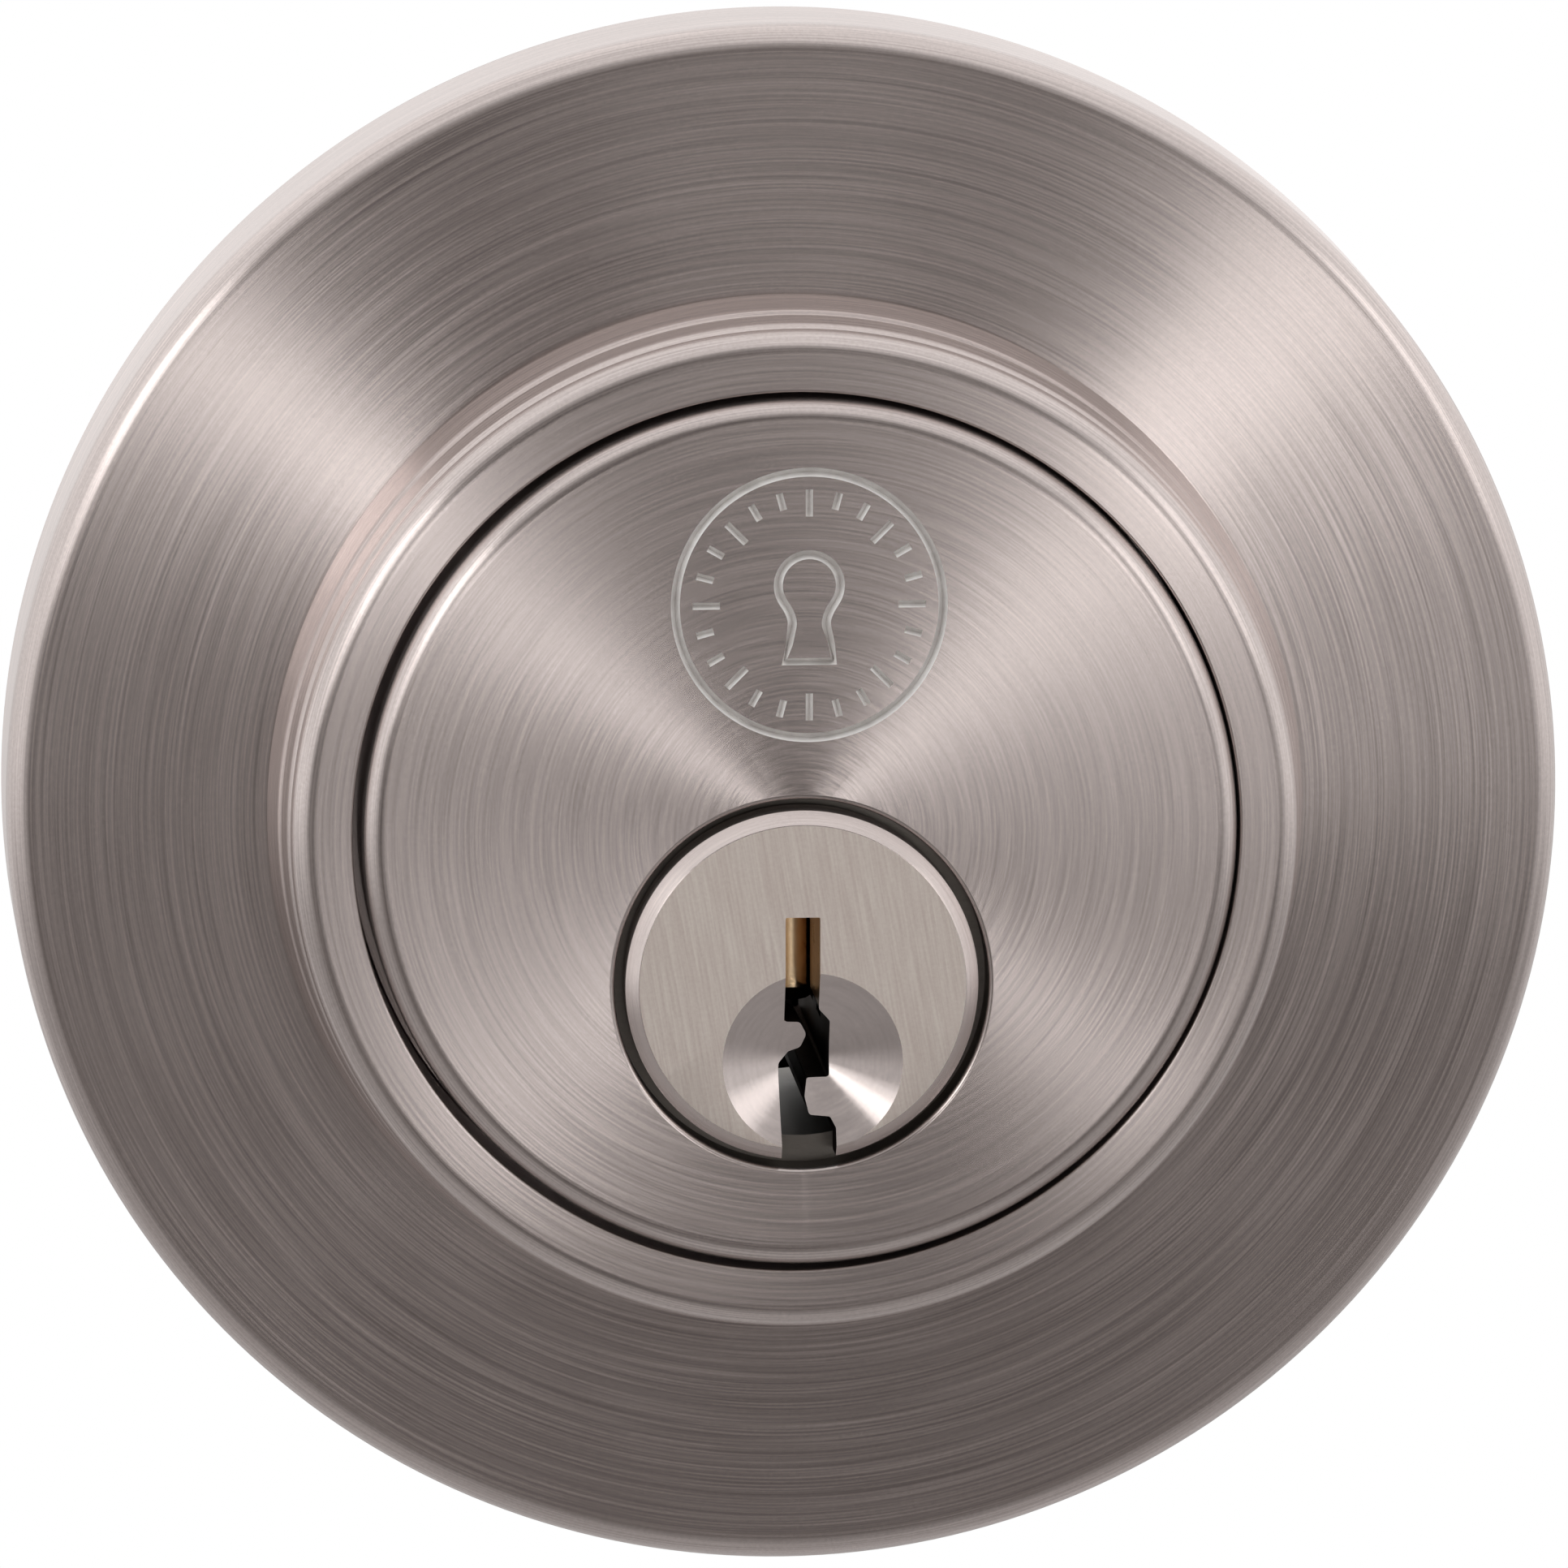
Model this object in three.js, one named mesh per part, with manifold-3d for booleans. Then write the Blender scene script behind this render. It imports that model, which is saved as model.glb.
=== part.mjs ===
// Single-cylinder deadbolt door lock, in millimetres, +Z up.
// The origin is on the axis of the door's cross bore, at the door's outside face.
// +X runs to the door's edge, where the bolt comes out, and +Y goes through the door to the room.
// The lock is drawn unlocked: bolt drawn back, thumbturn and keyway upright.

import * as THREE from "three";
import { mergeVertices } from "three/addons/utils/BufferGeometryUtils.js";
import Module from "manifold-3d";

// ---------------------------------------------------------------- driving dimensions

const DOOR = 44.45; // door thickness, 1-3/4 in
const BACKSET = 60.4; // cross bore axis to the outside of the faceplate
const THROW = 25.4; // travel of the bolt, 1 in
const PLUG_DROP = 6.1; // plug, crank and thumbturn axis below the cross bore axis
const SCREW_X = 17.5; // mounting screws, each side of the plug axis
const GAP = 0.3; // clearance between pieces that touch or are pressed together
const OVERCUT = 1; // how far a cutting tool runs past what it cuts

const FINE = 48; // segments of the large round pieces
const ROUND = 24; // segments of the middle-sized ones
const SMALL = 12; // segments of pins, holes and screws
const CURVE = 5; // points along each curve of a flat outline

// Heights of the outside pieces are measured outwards from the door's outside face.
const ROSE = { r: 31.75, wall: 2, rim: 6.3, faceR: 30.9, faceH: 7.2, topR: 21.5, topH: 8.3, skin: 1.8 };
const ROSE_HOLE_R = 16.5;
const COLLAR = { r: 21.15, topR: 20.4, back: 8.7, front: 15, corner: 1, boreR: 18.05, lipR: 16.3, lipH: 10.4 };
const GROOVE = { heights: [11.9, 13.7], halfW: 0.25, depth: 0.2 }; // two fine lines round the collar
const DISC = { r: 17.7, back: 10.7, front: 15.7, edge: 0.45 };
const BARREL_R = 9.4;
const BARREL_END = 9.5; // rear end of the cylinder body, inside the door
const BIBLE = { halfW: 4.6, top: 16.5 }; // pin tower, its top above the plug axis
const LUG = { x: 12, z: 2, r: 3.1 };
const MOUNT_PLATE = { r: 25.5, front: 5.3, back: 3.4 };
const PLUG = { faceH: 16.3, faceR: 7.15, chamfer: 0.6, flangeBack: 14.2, r: 6.4, noseR: 5, noseEnd: 11.2 };
const BORE_R = 6.5;

const PIN = { r: 1.4, holeR: 1.56, first: 6.8, pitch: 3.9, shear: 6.05, tipR: 0.7, tipH: 0.6 };
const KEY_PIN_TIPS = [-1.6, 0.2, -0.9, 0.7, -0.4]; // tips of the bottom pins, from the plug axis
const CHAMBER_FLOOR = -2.3;
const DRIVER = { low: 6.65, high: 10.2 };
const SPRING = { low: 10.4, high: 15.4, turns: 5, r: 1.05, wire: 0.18 };

const CRANK_ARM = THROW / Math.SQRT2; // a swing of 90 degrees about upright gives the throw
const CRANK_PIN_R = 1.5;
const CASE_INNER = 5; // half the gap between the two cheeks
const CHEEK = 1.2;
const TUBE = { back: 21.6, front: 56.8, r: 11.1, bore: 9.9 };
const BOLT = { r: 9.5, halfW: 6.8, back: 24, nose: 0.8 };

// ---------------------------------------------------------------- materials

const steelBrushed = { color: 0x9b938e, roughness: 0.35, metalness: 1 };
const steelPlated = { color: 0xb4b2ae, roughness: 0.3, metalness: 1 };
const steelDark = { color: 0x6d6b69, roughness: 0.45, metalness: 1 };
const nickel = { color: 0xb9b1a9, roughness: 0.3, metalness: 1 };
const brass = { color: 0xb08d4f, roughness: 0.35, metalness: 1 };
const zinc = { color: 0x8f9091, roughness: 0.5, metalness: 1 };
const nylon = { color: 0xe6e2d8, roughness: 0.6, metalness: 0 };

// ---------------------------------------------------------------- shape helpers

const wasm = await Module();
wasm.setup();

function toSolid(geometry) {
  const bare = geometry.clone();
  bare.deleteAttribute("normal");
  bare.deleteAttribute("uv");
  const merged = mergeVertices(bare, 1e-4);
  const mesh = new wasm.Mesh({
    numProp: 3,
    vertProperties: merged.attributes.position.array,
    triVerts: new Uint32Array(merged.index.array),
  });
  return new wasm.Manifold(mesh);
}

function toGeometry(manifold) {
  const mesh = manifold.getMesh();
  const geometry = new THREE.BufferGeometry();
  geometry.setAttribute("position", new THREE.BufferAttribute(new Float32Array(mesh.vertProperties), 3));
  geometry.setIndex(new THREE.BufferAttribute(new Uint32Array(mesh.triVerts), 1));
  geometry.computeVertexNormals();
  return geometry;
}

function join(...geometries) {
  return toGeometry(geometries.map(toSolid).reduce((all, one) => all.add(one)));
}

function cut(base, ...tools) {
  return toGeometry(tools.map(toSolid).reduce((left, tool) => left.subtract(tool), toSolid(base)));
}

// Turned about the Y axis from [radius, y] pairs. The outline ends on the axis or closes on itself.
function turned(outline, segments = ROUND) {
  const points = outline.map(([r, y]) => new THREE.Vector2(r, y));
  if (THREE.ShapeUtils.area(points) < 0) points.reverse();
  const open = points[0].x === 0 && points.at(-1).x === 0;
  if (!open) points.push(points[0].clone());
  return new THREE.LatheGeometry(points, segments);
}

function rodY(radius, y0, y1, segments = SMALL) {
  return new THREE.CylinderGeometry(radius, radius, y1 - y0, segments).translate(0, (y0 + y1) / 2, 0);
}

function rodX(radius, x0, x1, segments = SMALL) {
  return rodY(radius, x0, x1, segments).rotateZ(-Math.PI / 2);
}

function rodZ(radius, z0, z1, segments = SMALL) {
  return rodY(radius, z0, z1, segments).rotateX(Math.PI / 2);
}

function block(x, y, z) {
  const size = [x, y, z].map(([low, high]) => high - low);
  const middle = [x, y, z].map(([low, high]) => (low + high) / 2);
  return new THREE.BoxGeometry(...size).translate(...middle);
}

// A flat outline drawn in X and Z, with its thickness from y0 to y1.
function plateXZ(shape, y0, y1) {
  const options = { depth: y1 - y0, bevelEnabled: false, curveSegments: CURVE };
  return new THREE.ExtrudeGeometry(shape, options).rotateX(Math.PI / 2).translate(0, y1, 0);
}

const Y_Z_X = new THREE.Matrix4().makeBasis(
  new THREE.Vector3(0, 1, 0),
  new THREE.Vector3(0, 0, 1),
  new THREE.Vector3(1, 0, 0),
);

// A flat outline drawn in Y and Z, with its thickness from x0 to x1.
function plateYZ(shape, x0, x1, bevel = 0) {
  const options = {
    depth: x1 - x0 - 2 * bevel,
    bevelEnabled: bevel > 0,
    bevelThickness: bevel,
    bevelSize: bevel,
    bevelOffset: -bevel,
    bevelSegments: 1,
    curveSegments: CURVE,
  };
  return new THREE.ExtrudeGeometry(shape, options).applyMatrix4(Y_Z_X).translate(x0 + bevel, 0, 0);
}

function polygon(pairs) {
  return new THREE.Shape(pairs.map(([u, v]) => new THREE.Vector2(u, v)));
}

function roundedRectangle(halfU, halfV, r) {
  const shape = new THREE.Shape();
  shape.absarc(halfU - r, halfV - r, r, 0, Math.PI / 2);
  shape.absarc(-halfU + r, halfV - r, r, Math.PI / 2, Math.PI);
  shape.absarc(-halfU + r, -halfV + r, r, Math.PI, 1.5 * Math.PI);
  shape.absarc(halfU - r, -halfV + r, r, 1.5 * Math.PI, 2 * Math.PI);
  return shape;
}

// A circle with two flat sides: the section of the bolt and of the opening it slides through.
function flattedCircle(r, halfWidth) {
  const corner = Math.acos(halfWidth / r);
  const shape = new THREE.Shape();
  shape.absarc(0, 0, r, corner, Math.PI - corner);
  shape.absarc(0, 0, r, Math.PI + corner, 2 * Math.PI - corner);
  return shape;
}

function ringSector(inner, outer, from, to) {
  const shape = new THREE.Shape();
  shape.absarc(0, 0, outer, from, to, false);
  if (inner > 0) shape.absarc(0, 0, inner, to, from, true);
  else shape.lineTo(0, 0);
  return shape;
}

// A round fillet as points, from angle a0 to a1 about a centre, both ends included.
function arcPoints(cx, cy, r, a0, a1, steps) {
  return Array.from({ length: steps + 1 }, (_, i) => {
    const a = a0 + ((a1 - a0) * i) / steps;
    return [cx + r * Math.cos(a), cy + r * Math.sin(a)];
  });
}

function place(group, name, geometry, look, x = 0, y = 0, z = 0) {
  const mesh = new THREE.Mesh(geometry, new THREE.MeshStandardMaterial(look));
  mesh.name = name;
  mesh.position.set(x, y, z);
  group.add(mesh);
  return mesh;
}

const outwards = (outline) => outline.map(([r, h]) => [r, -h]);

// ---------------------------------------------------------------- roses, one on each face of the door

// A shallow dished cover as [radius, height above the door]; holeR of 0 leaves its middle closed.
function roseOutline(holeR) {
  const fillet = ROSE.r - ROSE.faceR;
  const shoulder = arcPoints(ROSE.r - fillet, ROSE.rim, fillet, 0, Math.PI / 2 - 0.12, 3);
  const innerR = ROSE.r - ROSE.wall;
  return [
    [innerR, 0],
    [ROSE.r, 0],
    ...shoulder,
    [ROSE.topR, ROSE.topH],
    [holeR, ROSE.topH + 0.1],
    [holeR, ROSE.topH + 0.1 - ROSE.skin],
    [innerR - 1, ROSE.faceH - ROSE.skin],
    [innerR, ROSE.faceH - ROSE.skin - 1],
  ];
}

function outerRose() {
  return turned(outwards(roseOutline(ROSE_HOLE_R)), FINE);
}

function innerRose() {
  const face = ROSE.topH + 0.1;
  const shell = turned(roseOutline(0), FINE);
  const bosses = [-SCREW_X, SCREW_X].map((x) => rodY(4.6, 1.9, face - 1, ROUND).translate(x, 0, -PLUG_DROP));
  const turnHole = rodY(8.6, 0, face + OVERCUT, ROUND).translate(0, 0, -PLUG_DROP);
  const screwHoles = [-SCREW_X, SCREW_X].map((x) => screwHole(face).translate(x, 0, -PLUG_DROP));
  return cut(join(shell, ...bosses), turnHole, ...screwHoles);
}

// A through hole with a countersink that opens at y = face.
function screwHole(face) {
  const outline = [
    [0, -OVERCUT],
    [2.5, -OVERCUT],
    [2.5, face - 2.3],
    [4.45, face - 0.2],
    [4.45, face + OVERCUT],
    [0, face + OVERCUT],
  ];
  return turned(outline, 20);
}

// ---------------------------------------------------------------- outside: guard collar and lock cylinder

function guardCollar() {
  const { r, topR, back, front, corner, boreR, lipR, lipH } = COLLAR;
  const shoulder = front - corner;
  const wallR = (h) => THREE.MathUtils.mapLinear(h, back, shoulder, r, topR);
  const grooves = GROOVE.heights.flatMap((h) => [
    [wallR(h - GROOVE.halfW), h - GROOVE.halfW],
    [wallR(h) - GROOVE.depth, h],
    [wallR(h + GROOVE.halfW), h + GROOVE.halfW],
  ]);
  const outline = [
    [lipR, back],
    [r, back],
    ...grooves,
    ...arcPoints(topR - corner, shoulder, corner, 0, Math.PI / 2, 3),
    [boreR, front],
    [boreR, lipH],
    [lipR, lipH],
  ];
  return turned(outwards(outline), FINE);
}

function cylinderBody() {
  const { r, back, front, edge } = DISC;
  const disc = turned(
    outwards([[0, back], [r, back], [r, front - edge], [r - edge, front], [0, front]]),
    FINE,
  );
  const barrel = rodY(BARREL_R, -back - 0.1, BARREL_END, ROUND).translate(0, 0, -PLUG_DROP);
  const bible = block(
    [-BIBLE.halfW, BIBLE.halfW],
    [-back - 0.1, BARREL_END],
    [-PLUG_DROP, BIBLE.top - PLUG_DROP],
  );
  const lugEnd = -MOUNT_PLATE.front - GAP;
  const lugs = [-LUG.x, LUG.x].map((x) => rodY(LUG.r, -back - 0.1, lugEnd, 20).translate(x, 0, LUG.z));
  const lugHoles = [-LUG.x, LUG.x].map((x) => rodY(1.8, -back, lugEnd + OVERCUT).translate(x, 0, LUG.z));
  const plugHole = turned(
    [
      [0, -front - OVERCUT],
      [PLUG.faceR + GAP, -front - OVERCUT],
      [PLUG.faceR + GAP, -PLUG.flangeBack + GAP],
      [BORE_R, -PLUG.flangeBack + GAP],
      [BORE_R, BARREL_END + OVERCUT],
      [0, BARREL_END + OVERCUT],
    ],
    40,
  ).translate(0, 0, -PLUG_DROP);
  const chambers = pinYs.map((y) => rodZ(PIN.holeR, 4, BIBLE.top + OVERCUT).translate(0, y, -PLUG_DROP));
  const coverSeat = block(
    [-3.1, 3.1],
    [-back + 0.1, BARREL_END + OVERCUT],
    [BIBLE.top - 0.9, BIBLE.top + OVERCUT],
  ).translate(0, 0, -PLUG_DROP);
  return cut(join(disc, barrel, bible, ...lugs), plugHole, coverSeat, ...chambers, ...lugHoles);
}

const pinYs = KEY_PIN_TIPS.map((_, i) => -PLUG.faceH + PIN.first + i * PIN.pitch);

// The keyway's section in X and Z about the plug axis: a narrow top, a ward from each side, an open foot.
function keywayShape() {
  const shape = new THREE.Shape();
  shape.moveTo(-0.7, 2.85);
  shape.lineTo(-0.7, -1.5);
  shape.lineTo(-0.05, -1.6);
  shape.quadraticCurveTo(0.32, -2.15, 0, -2.65);
  shape.lineTo(-0.5, -2.85);
  shape.quadraticCurveTo(-0.92, -3.2, -0.92, -3.7);
  shape.lineTo(-0.8, -8);
  shape.lineTo(1.37, -8);
  shape.lineTo(1.37, -5.75);
  shape.quadraticCurveTo(1.3, -5.42, 0.95, -5.4);
  shape.lineTo(0.3, -5.35);
  shape.quadraticCurveTo(0.05, -4.6, 0.25, -3.95);
  shape.lineTo(1.16, -3.85);
  shape.lineTo(1.16, -1.5);
  shape.quadraticCurveTo(1.1, -1.2, 0.7, -0.88);
  shape.lineTo(0.7, 2.85);
  return shape;
}

function plug() {
  const { faceH, faceR, chamfer, flangeBack, r, noseR, noseEnd } = PLUG;
  const body = turned(
    [
      [0, -faceH],
      [faceR - chamfer, -faceH],
      [faceR, -faceH + chamfer],
      [faceR, -flangeBack],
      [r, -flangeBack],
      [r, BARREL_END],
      [noseR, BARREL_END],
      [noseR, noseEnd],
      [0, noseEnd],
    ],
    40,
  );
  const dimple = turned([[0, -faceH - OVERCUT], [3.5, -faceH - OVERCUT], [3.5, -faceH], [0, -faceH + 1.7]], ROUND);
  const keyway = plateXZ(keywayShape(), -faceH - 2 * OVERCUT, 8);
  const chambers = pinYs.map((y) => rodZ(PIN.holeR, CHAMBER_FLOOR, r + OVERCUT).translate(0, y, 0));
  const lugs = [0, Math.PI].map((turn) =>
    plateXZ(ringSector(3.4, 4.8, radians(120) + turn, radians(150) + turn), noseEnd - 0.1, noseEnd + 1.1),
  );
  return join(cut(body, dimple.translate(0.35, 0, -2.95), keyway, ...chambers), ...lugs);
}

function radians(degrees) {
  return (degrees * Math.PI) / 180;
}

// Holds the plug in the cylinder body and the tailpiece's head against the plug's nose.
function plugCap() {
  return turned(
    [
      [PLUG.noseR + GAP, BARREL_END + GAP],
      [6.9, BARREL_END + GAP],
      [6.9, 14],
      [3.6, 14],
      [3.6, 12.8],
      [PLUG.noseR + GAP, 12.8],
    ],
    ROUND,
  );
}

// A flat torque blade; its two-winged head gives a quarter turn of free play against the plug's lugs.
function tailpiece() {
  const start = PLUG.noseEnd + GAP;
  const blade = block([-1, 1], [start, DOOR + 6], [-3, 3]);
  const wings = [90, 270].map((middle) =>
    plateXZ(ringSector(0, 4.8, radians(middle - 25), radians(middle + 25)), start, start + 1),
  );
  return join(blade, ...wings);
}

function keyPin(tip) {
  const outline = [[0, tip], [PIN.tipR, tip], [PIN.r, tip + PIN.tipH], [PIN.r, PIN.shear], [0, PIN.shear]];
  return turned(outline, SMALL).rotateX(Math.PI / 2);
}

function driverPin() {
  return rodZ(PIN.r, DRIVER.low, DRIVER.high);
}

class Helix extends THREE.Curve {
  getPoint(t) {
    const a = 2 * Math.PI * SPRING.turns * t;
    const z = THREE.MathUtils.lerp(SPRING.low + SPRING.wire, SPRING.high - SPRING.wire, t);
    return new THREE.Vector3(SPRING.r * Math.cos(a), SPRING.r * Math.sin(a), z);
  }
}

function pinSpring() {
  const wire = new THREE.Shape().absarc(0, 0, SPRING.wire, 0, 2 * Math.PI);
  const options = { extrudePath: new Helix(), steps: SPRING.turns * 8, curveSegments: 2, bevelEnabled: false };
  return new THREE.ExtrudeGeometry(wire, options);
}

function springCover() {
  const low = BIBLE.top - 0.6;
  return block([-2.8, 2.8], [-DISC.back + 0.1 + GAP, BARREL_END - 0.2], [low, BIBLE.top - 0.05]);
}

// Clamps the rose and carries the two posts; the cylinder body is screwed to its front.
function cylinderPlate() {
  const { r, front, back } = MOUNT_PLATE;
  const disc = rodY(r, -front, -back, FINE);
  const barrelHole = rodY(BARREL_R + 0.4, -8, -3, ROUND).translate(0, 0, -PLUG_DROP);
  const bibleHole = block([-BIBLE.halfW - 0.4, BIBLE.halfW + 0.4], [-8, -3], [-PLUG_DROP, 10.7]);
  const lugHoles = [-LUG.x, LUG.x].map((x) => rodY(1.9, -8, -3).translate(x, 0, LUG.z));
  const postHoles = [-SCREW_X, SCREW_X].map((x) => rodY(2.9, -8, -3, 20).translate(x, 0, -PLUG_DROP));
  return cut(disc, barrelHole, bibleHole, ...lugHoles, ...postHoles);
}

function cylinderScrew() {
  const seat = -MOUNT_PLATE.back + GAP;
  const top = seat + 1.8;
  const outline = [[0, -10.2], [1.5, -10.2], [1.5, seat], [2.7, seat], [2.7, seat + 1.1], [2.2, top], [0, top]];
  return cut(turned(outline, SMALL), ...crossRecess(top, 1.2, 1.7));
}

// A Phillips recess as two crossed blocks, opening at y = top.
function crossRecess(top, depth, half) {
  const arm = [top - depth, top + OVERCUT];
  return [block([-half, half], arm, [-0.4, 0.4]), block([-0.4, 0.4], arm, [-half, half])];
}

function post() {
  const shoulder = -MOUNT_PLATE.back + GAP;
  return turned(
    [
      [0, -5.6],
      [2.6, -5.6],
      [2.6, shoulder],
      [3.6, shoulder],
      [3.6, 13],
      [2.5, 13],
      [2.5, 1],
      [0, 1],
    ],
    20,
  );
}

// ---------------------------------------------------------------- bolt unit, about the middle of the door

function deadbolt() {
  const bar = plateYZ(flattedCircle(BOLT.r, BOLT.halfW), BOLT.back, BACKSET, BOLT.nose);
  const tailSlot = block([BOLT.back - OVERCUT, 32], [-4.5, 4.5], [0.1, BOLT.r + OVERCUT]);
  const insertHole = rodX(2.6, BOLT.back - OVERCUT, 57.4, 16).translate(0, 0, -4);
  const pinHole = rodY(1.7, -BOLT.r, BOLT.r).translate(27.5, 0, 4.5);
  return cut(bar, tailSlot, insertHole, pinHole);
}

// A fork on the back of the bolt; the crank's pin works in the slots of its two ears.
function boltTail() {
  const slotX = -THROW / 2;
  const ear = 4.5;
  const side = polygon([
    [slotX - ear, 0.4],
    [31, 0.4],
    [31, 8.6],
    [slotX + ear + 2.5, 8.6],
    [slotX + ear, 12.1],
    [slotX - ear, 12.1],
  ]);
  const halfSlot = CRANK_PIN_R + 0.65;
  const pinSlot = block([slotX - halfSlot, slotX + halfSlot], [-6, 6], [4.3, 14]);
  const channel = block([-20, 9], [-1.9, 1.9], [-2, 14]);
  const pinHole = rodY(1.7, -6, 6).translate(27.5, 0, 4.5);
  return cut(plateXZ(side, -4.2, 4.2), pinSlot, channel, pinHole);
}

// The tailpiece turns this crank through a quarter turn. Drawn with its arm up and its axis at the origin.
function crank() {
  const hub = rodY(5.5, -4.7, 4.7, ROUND);
  const trunnion = rodY(4.2, -6.6, 6.6, ROUND);
  const arm = plateXZ(polygon([[-3.4, 0], [3.4, 0], [2.4, CRANK_ARM], [-2.4, CRANK_ARM]]), -1.5, 1.5);
  const tip = rodY(2.6, -1.5, 1.5, 20).translate(0, 0, CRANK_ARM);
  const pinHole = rodY(CRANK_PIN_R + GAP, -3, 3).translate(0, 0, CRANK_ARM);
  const slot = block([-1.3, 1.3], [-8, 8], [-3.3, 3.3]).rotateY(radians(45));
  return cut(join(hub, trunnion, arm, tip), pinHole, slot);
}

function bore(shape, x, z, r, segments = 16) {
  const circle = new THREE.Path().absarc(x, z, r, 0, 2 * Math.PI);
  shape.holes.push(new THREE.Path(circle.getPoints(segments / 2)));
}

const TENON = { low: -5, high: -1 };

// One of the two side plates of the crank case, with a tenon for the end ring.
function caseCheek(y0, y1) {
  const shape = new THREE.Shape();
  shape.moveTo(21.3, -11);
  shape.lineTo(21.3, TENON.low);
  shape.lineTo(23.4, TENON.low);
  shape.lineTo(23.4, TENON.high);
  shape.lineTo(21.3, TENON.high);
  shape.lineTo(21.3, 9.4);
  shape.lineTo(-19.5, 9.4);
  shape.absarc(-19.5, 5.4, 4, Math.PI / 2, Math.PI);
  shape.absarc(-19.5, -7, 4, Math.PI, 1.5 * Math.PI);
  bore(shape, 0, -PLUG_DROP, 4.5, ROUND);
  bore(shape, -SCREW_X, -PLUG_DROP, 2.9);
  bore(shape, SCREW_X, -PLUG_DROP, 2.9);
  bore(shape, -10.5, -8.6, 1.6);
  bore(shape, 10.5, -8.6, 1.6);
  return plateXZ(shape, y0, y1);
}

function caseRivet() {
  const inner = CASE_INNER + CHEEK + GAP;
  const outer = inner + 0.7;
  const end = [[0, outer], [1.4, outer], [2.2, inner], [1.3, inner]];
  return turned([...end, ...end.map(([r, y]) => [r, -y]).reverse()], SMALL);
}

function caseEndRing() {
  const ring = rodX(9.6, 22, 23.2, 36);
  const window = block([21, 24], [-4.6, 4.6], [0, 10]);
  const tenonSlots = [-1, 1].map((side) => {
    const middle = side * (CASE_INNER + CHEEK / 2);
    return block([21, 24], [middle - 0.9, middle + 0.9], [TENON.low - GAP, TENON.high + GAP]);
  });
  return cut(ring, window, ...tenonSlots);
}

function boltTube() {
  const { back, front, r, bore: inner } = TUBE;
  return turned([[inner, back], [r, back], [r, front], [inner, front]], 36).rotateZ(-Math.PI / 2);
}

const FACE_SCREW_Z = 20.6;
const FACE_BACK = BACKSET - 2;

function backplate() {
  const shape = roundedRectangle(12.2, 28.1, 6);
  bore(shape, 0, 0, TUBE.bore, 36);
  bore(shape, 0, FACE_SCREW_Z, 2.6);
  bore(shape, 0, -FACE_SCREW_Z, 2.6);
  return plateYZ(shape, TUBE.front + GAP, FACE_BACK - GAP);
}

function faceplate() {
  const shape = roundedRectangle(12.7, 28.6, 6.35);
  const opening = flattedCircle(BOLT.r + 0.4, BOLT.halfW + 0.4);
  shape.holes.push(new THREE.Path(opening.getPoints(CURVE)));
  const sinks = [-FACE_SCREW_Z, FACE_SCREW_Z].map((z) =>
    turned([[0, 57], [2.3, 57], [2.3, 58.5], [4.3, BACKSET + 0.01], [4.3, 61], [0, 61]], 20)
      .rotateZ(-Math.PI / 2)
      .translate(0, 0, z),
  );
  return cut(plateYZ(shape, FACE_BACK, BACKSET), ...sinks);
}

// A thread as plain ridges: pairs of root and crest along a shank, from y0 up to y1.
function threadRidges(rootR, crestR, y0, y1, pitch) {
  const count = Math.floor((y1 - y0) / pitch);
  return Array.from({ length: count }, (_, i) => [
    [rootR, y0 + i * pitch],
    [crestR, y0 + (i + 0.5) * pitch],
  ]).flat();
}

function faceScrew() {
  const head = BACKSET - 0.1;
  const outline = [
    [0, 41.5],
    ...threadRidges(1.4, 1.95, 43.5, 53, 1.6),
    [1.45, 55],
    [1.95, 57],
    [1.95, 58.4],
    [3.9, head],
    [0, head],
  ];
  return cut(turned(outline, SMALL), ...crossRecess(head, 1.3, 2)).rotateZ(-Math.PI / 2);
}

// ---------------------------------------------------------------- inside: plate, thumbturn and long screws

function innerPlate() {
  const plate = rodY(28.6, 0, 1.6, FINE);
  const turnHole = rodY(8.3, -2, 3, ROUND).translate(0, 0, -PLUG_DROP);
  const screwHoles = [-SCREW_X, SCREW_X].map((x) => rodY(2.6, -2, 3, 20).translate(x, 0, -PLUG_DROP));
  return cut(plate, turnHole, ...screwHoles);
}

function turnBushing() {
  return turned([[6.5, 4.5], [9.6, 4.5], [9.6, 5.6], [8.3, 5.6], [8.3, 8.5], [6.5, 8.5]], ROUND);
}

function waveWasher() {
  return turned([[6.5, 3.6], [8, 3.6], [8, 4.2], [6.5, 4.2]], ROUND);
}

function turnSpindle() {
  const shaft = turned(
    [[0, -3], [6.2, -3], [6.2, 2.3], [5, 2.3], [5, 3.6], [6.2, 3.6], [6.2, 8.5], [3.5, 8.5], [3.5, 15], [0, 15]],
    ROUND,
  );
  return cut(shaft, block([-1.3, 1.3], [-4, 6.5], [-3.3, 3.3]));
}

function spindleClip() {
  const open = radians(35);
  return plateXZ(ringSector(5.3, 7.8, open - Math.PI / 2, 1.5 * Math.PI - open), 2.6, 3.3);
}

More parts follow.
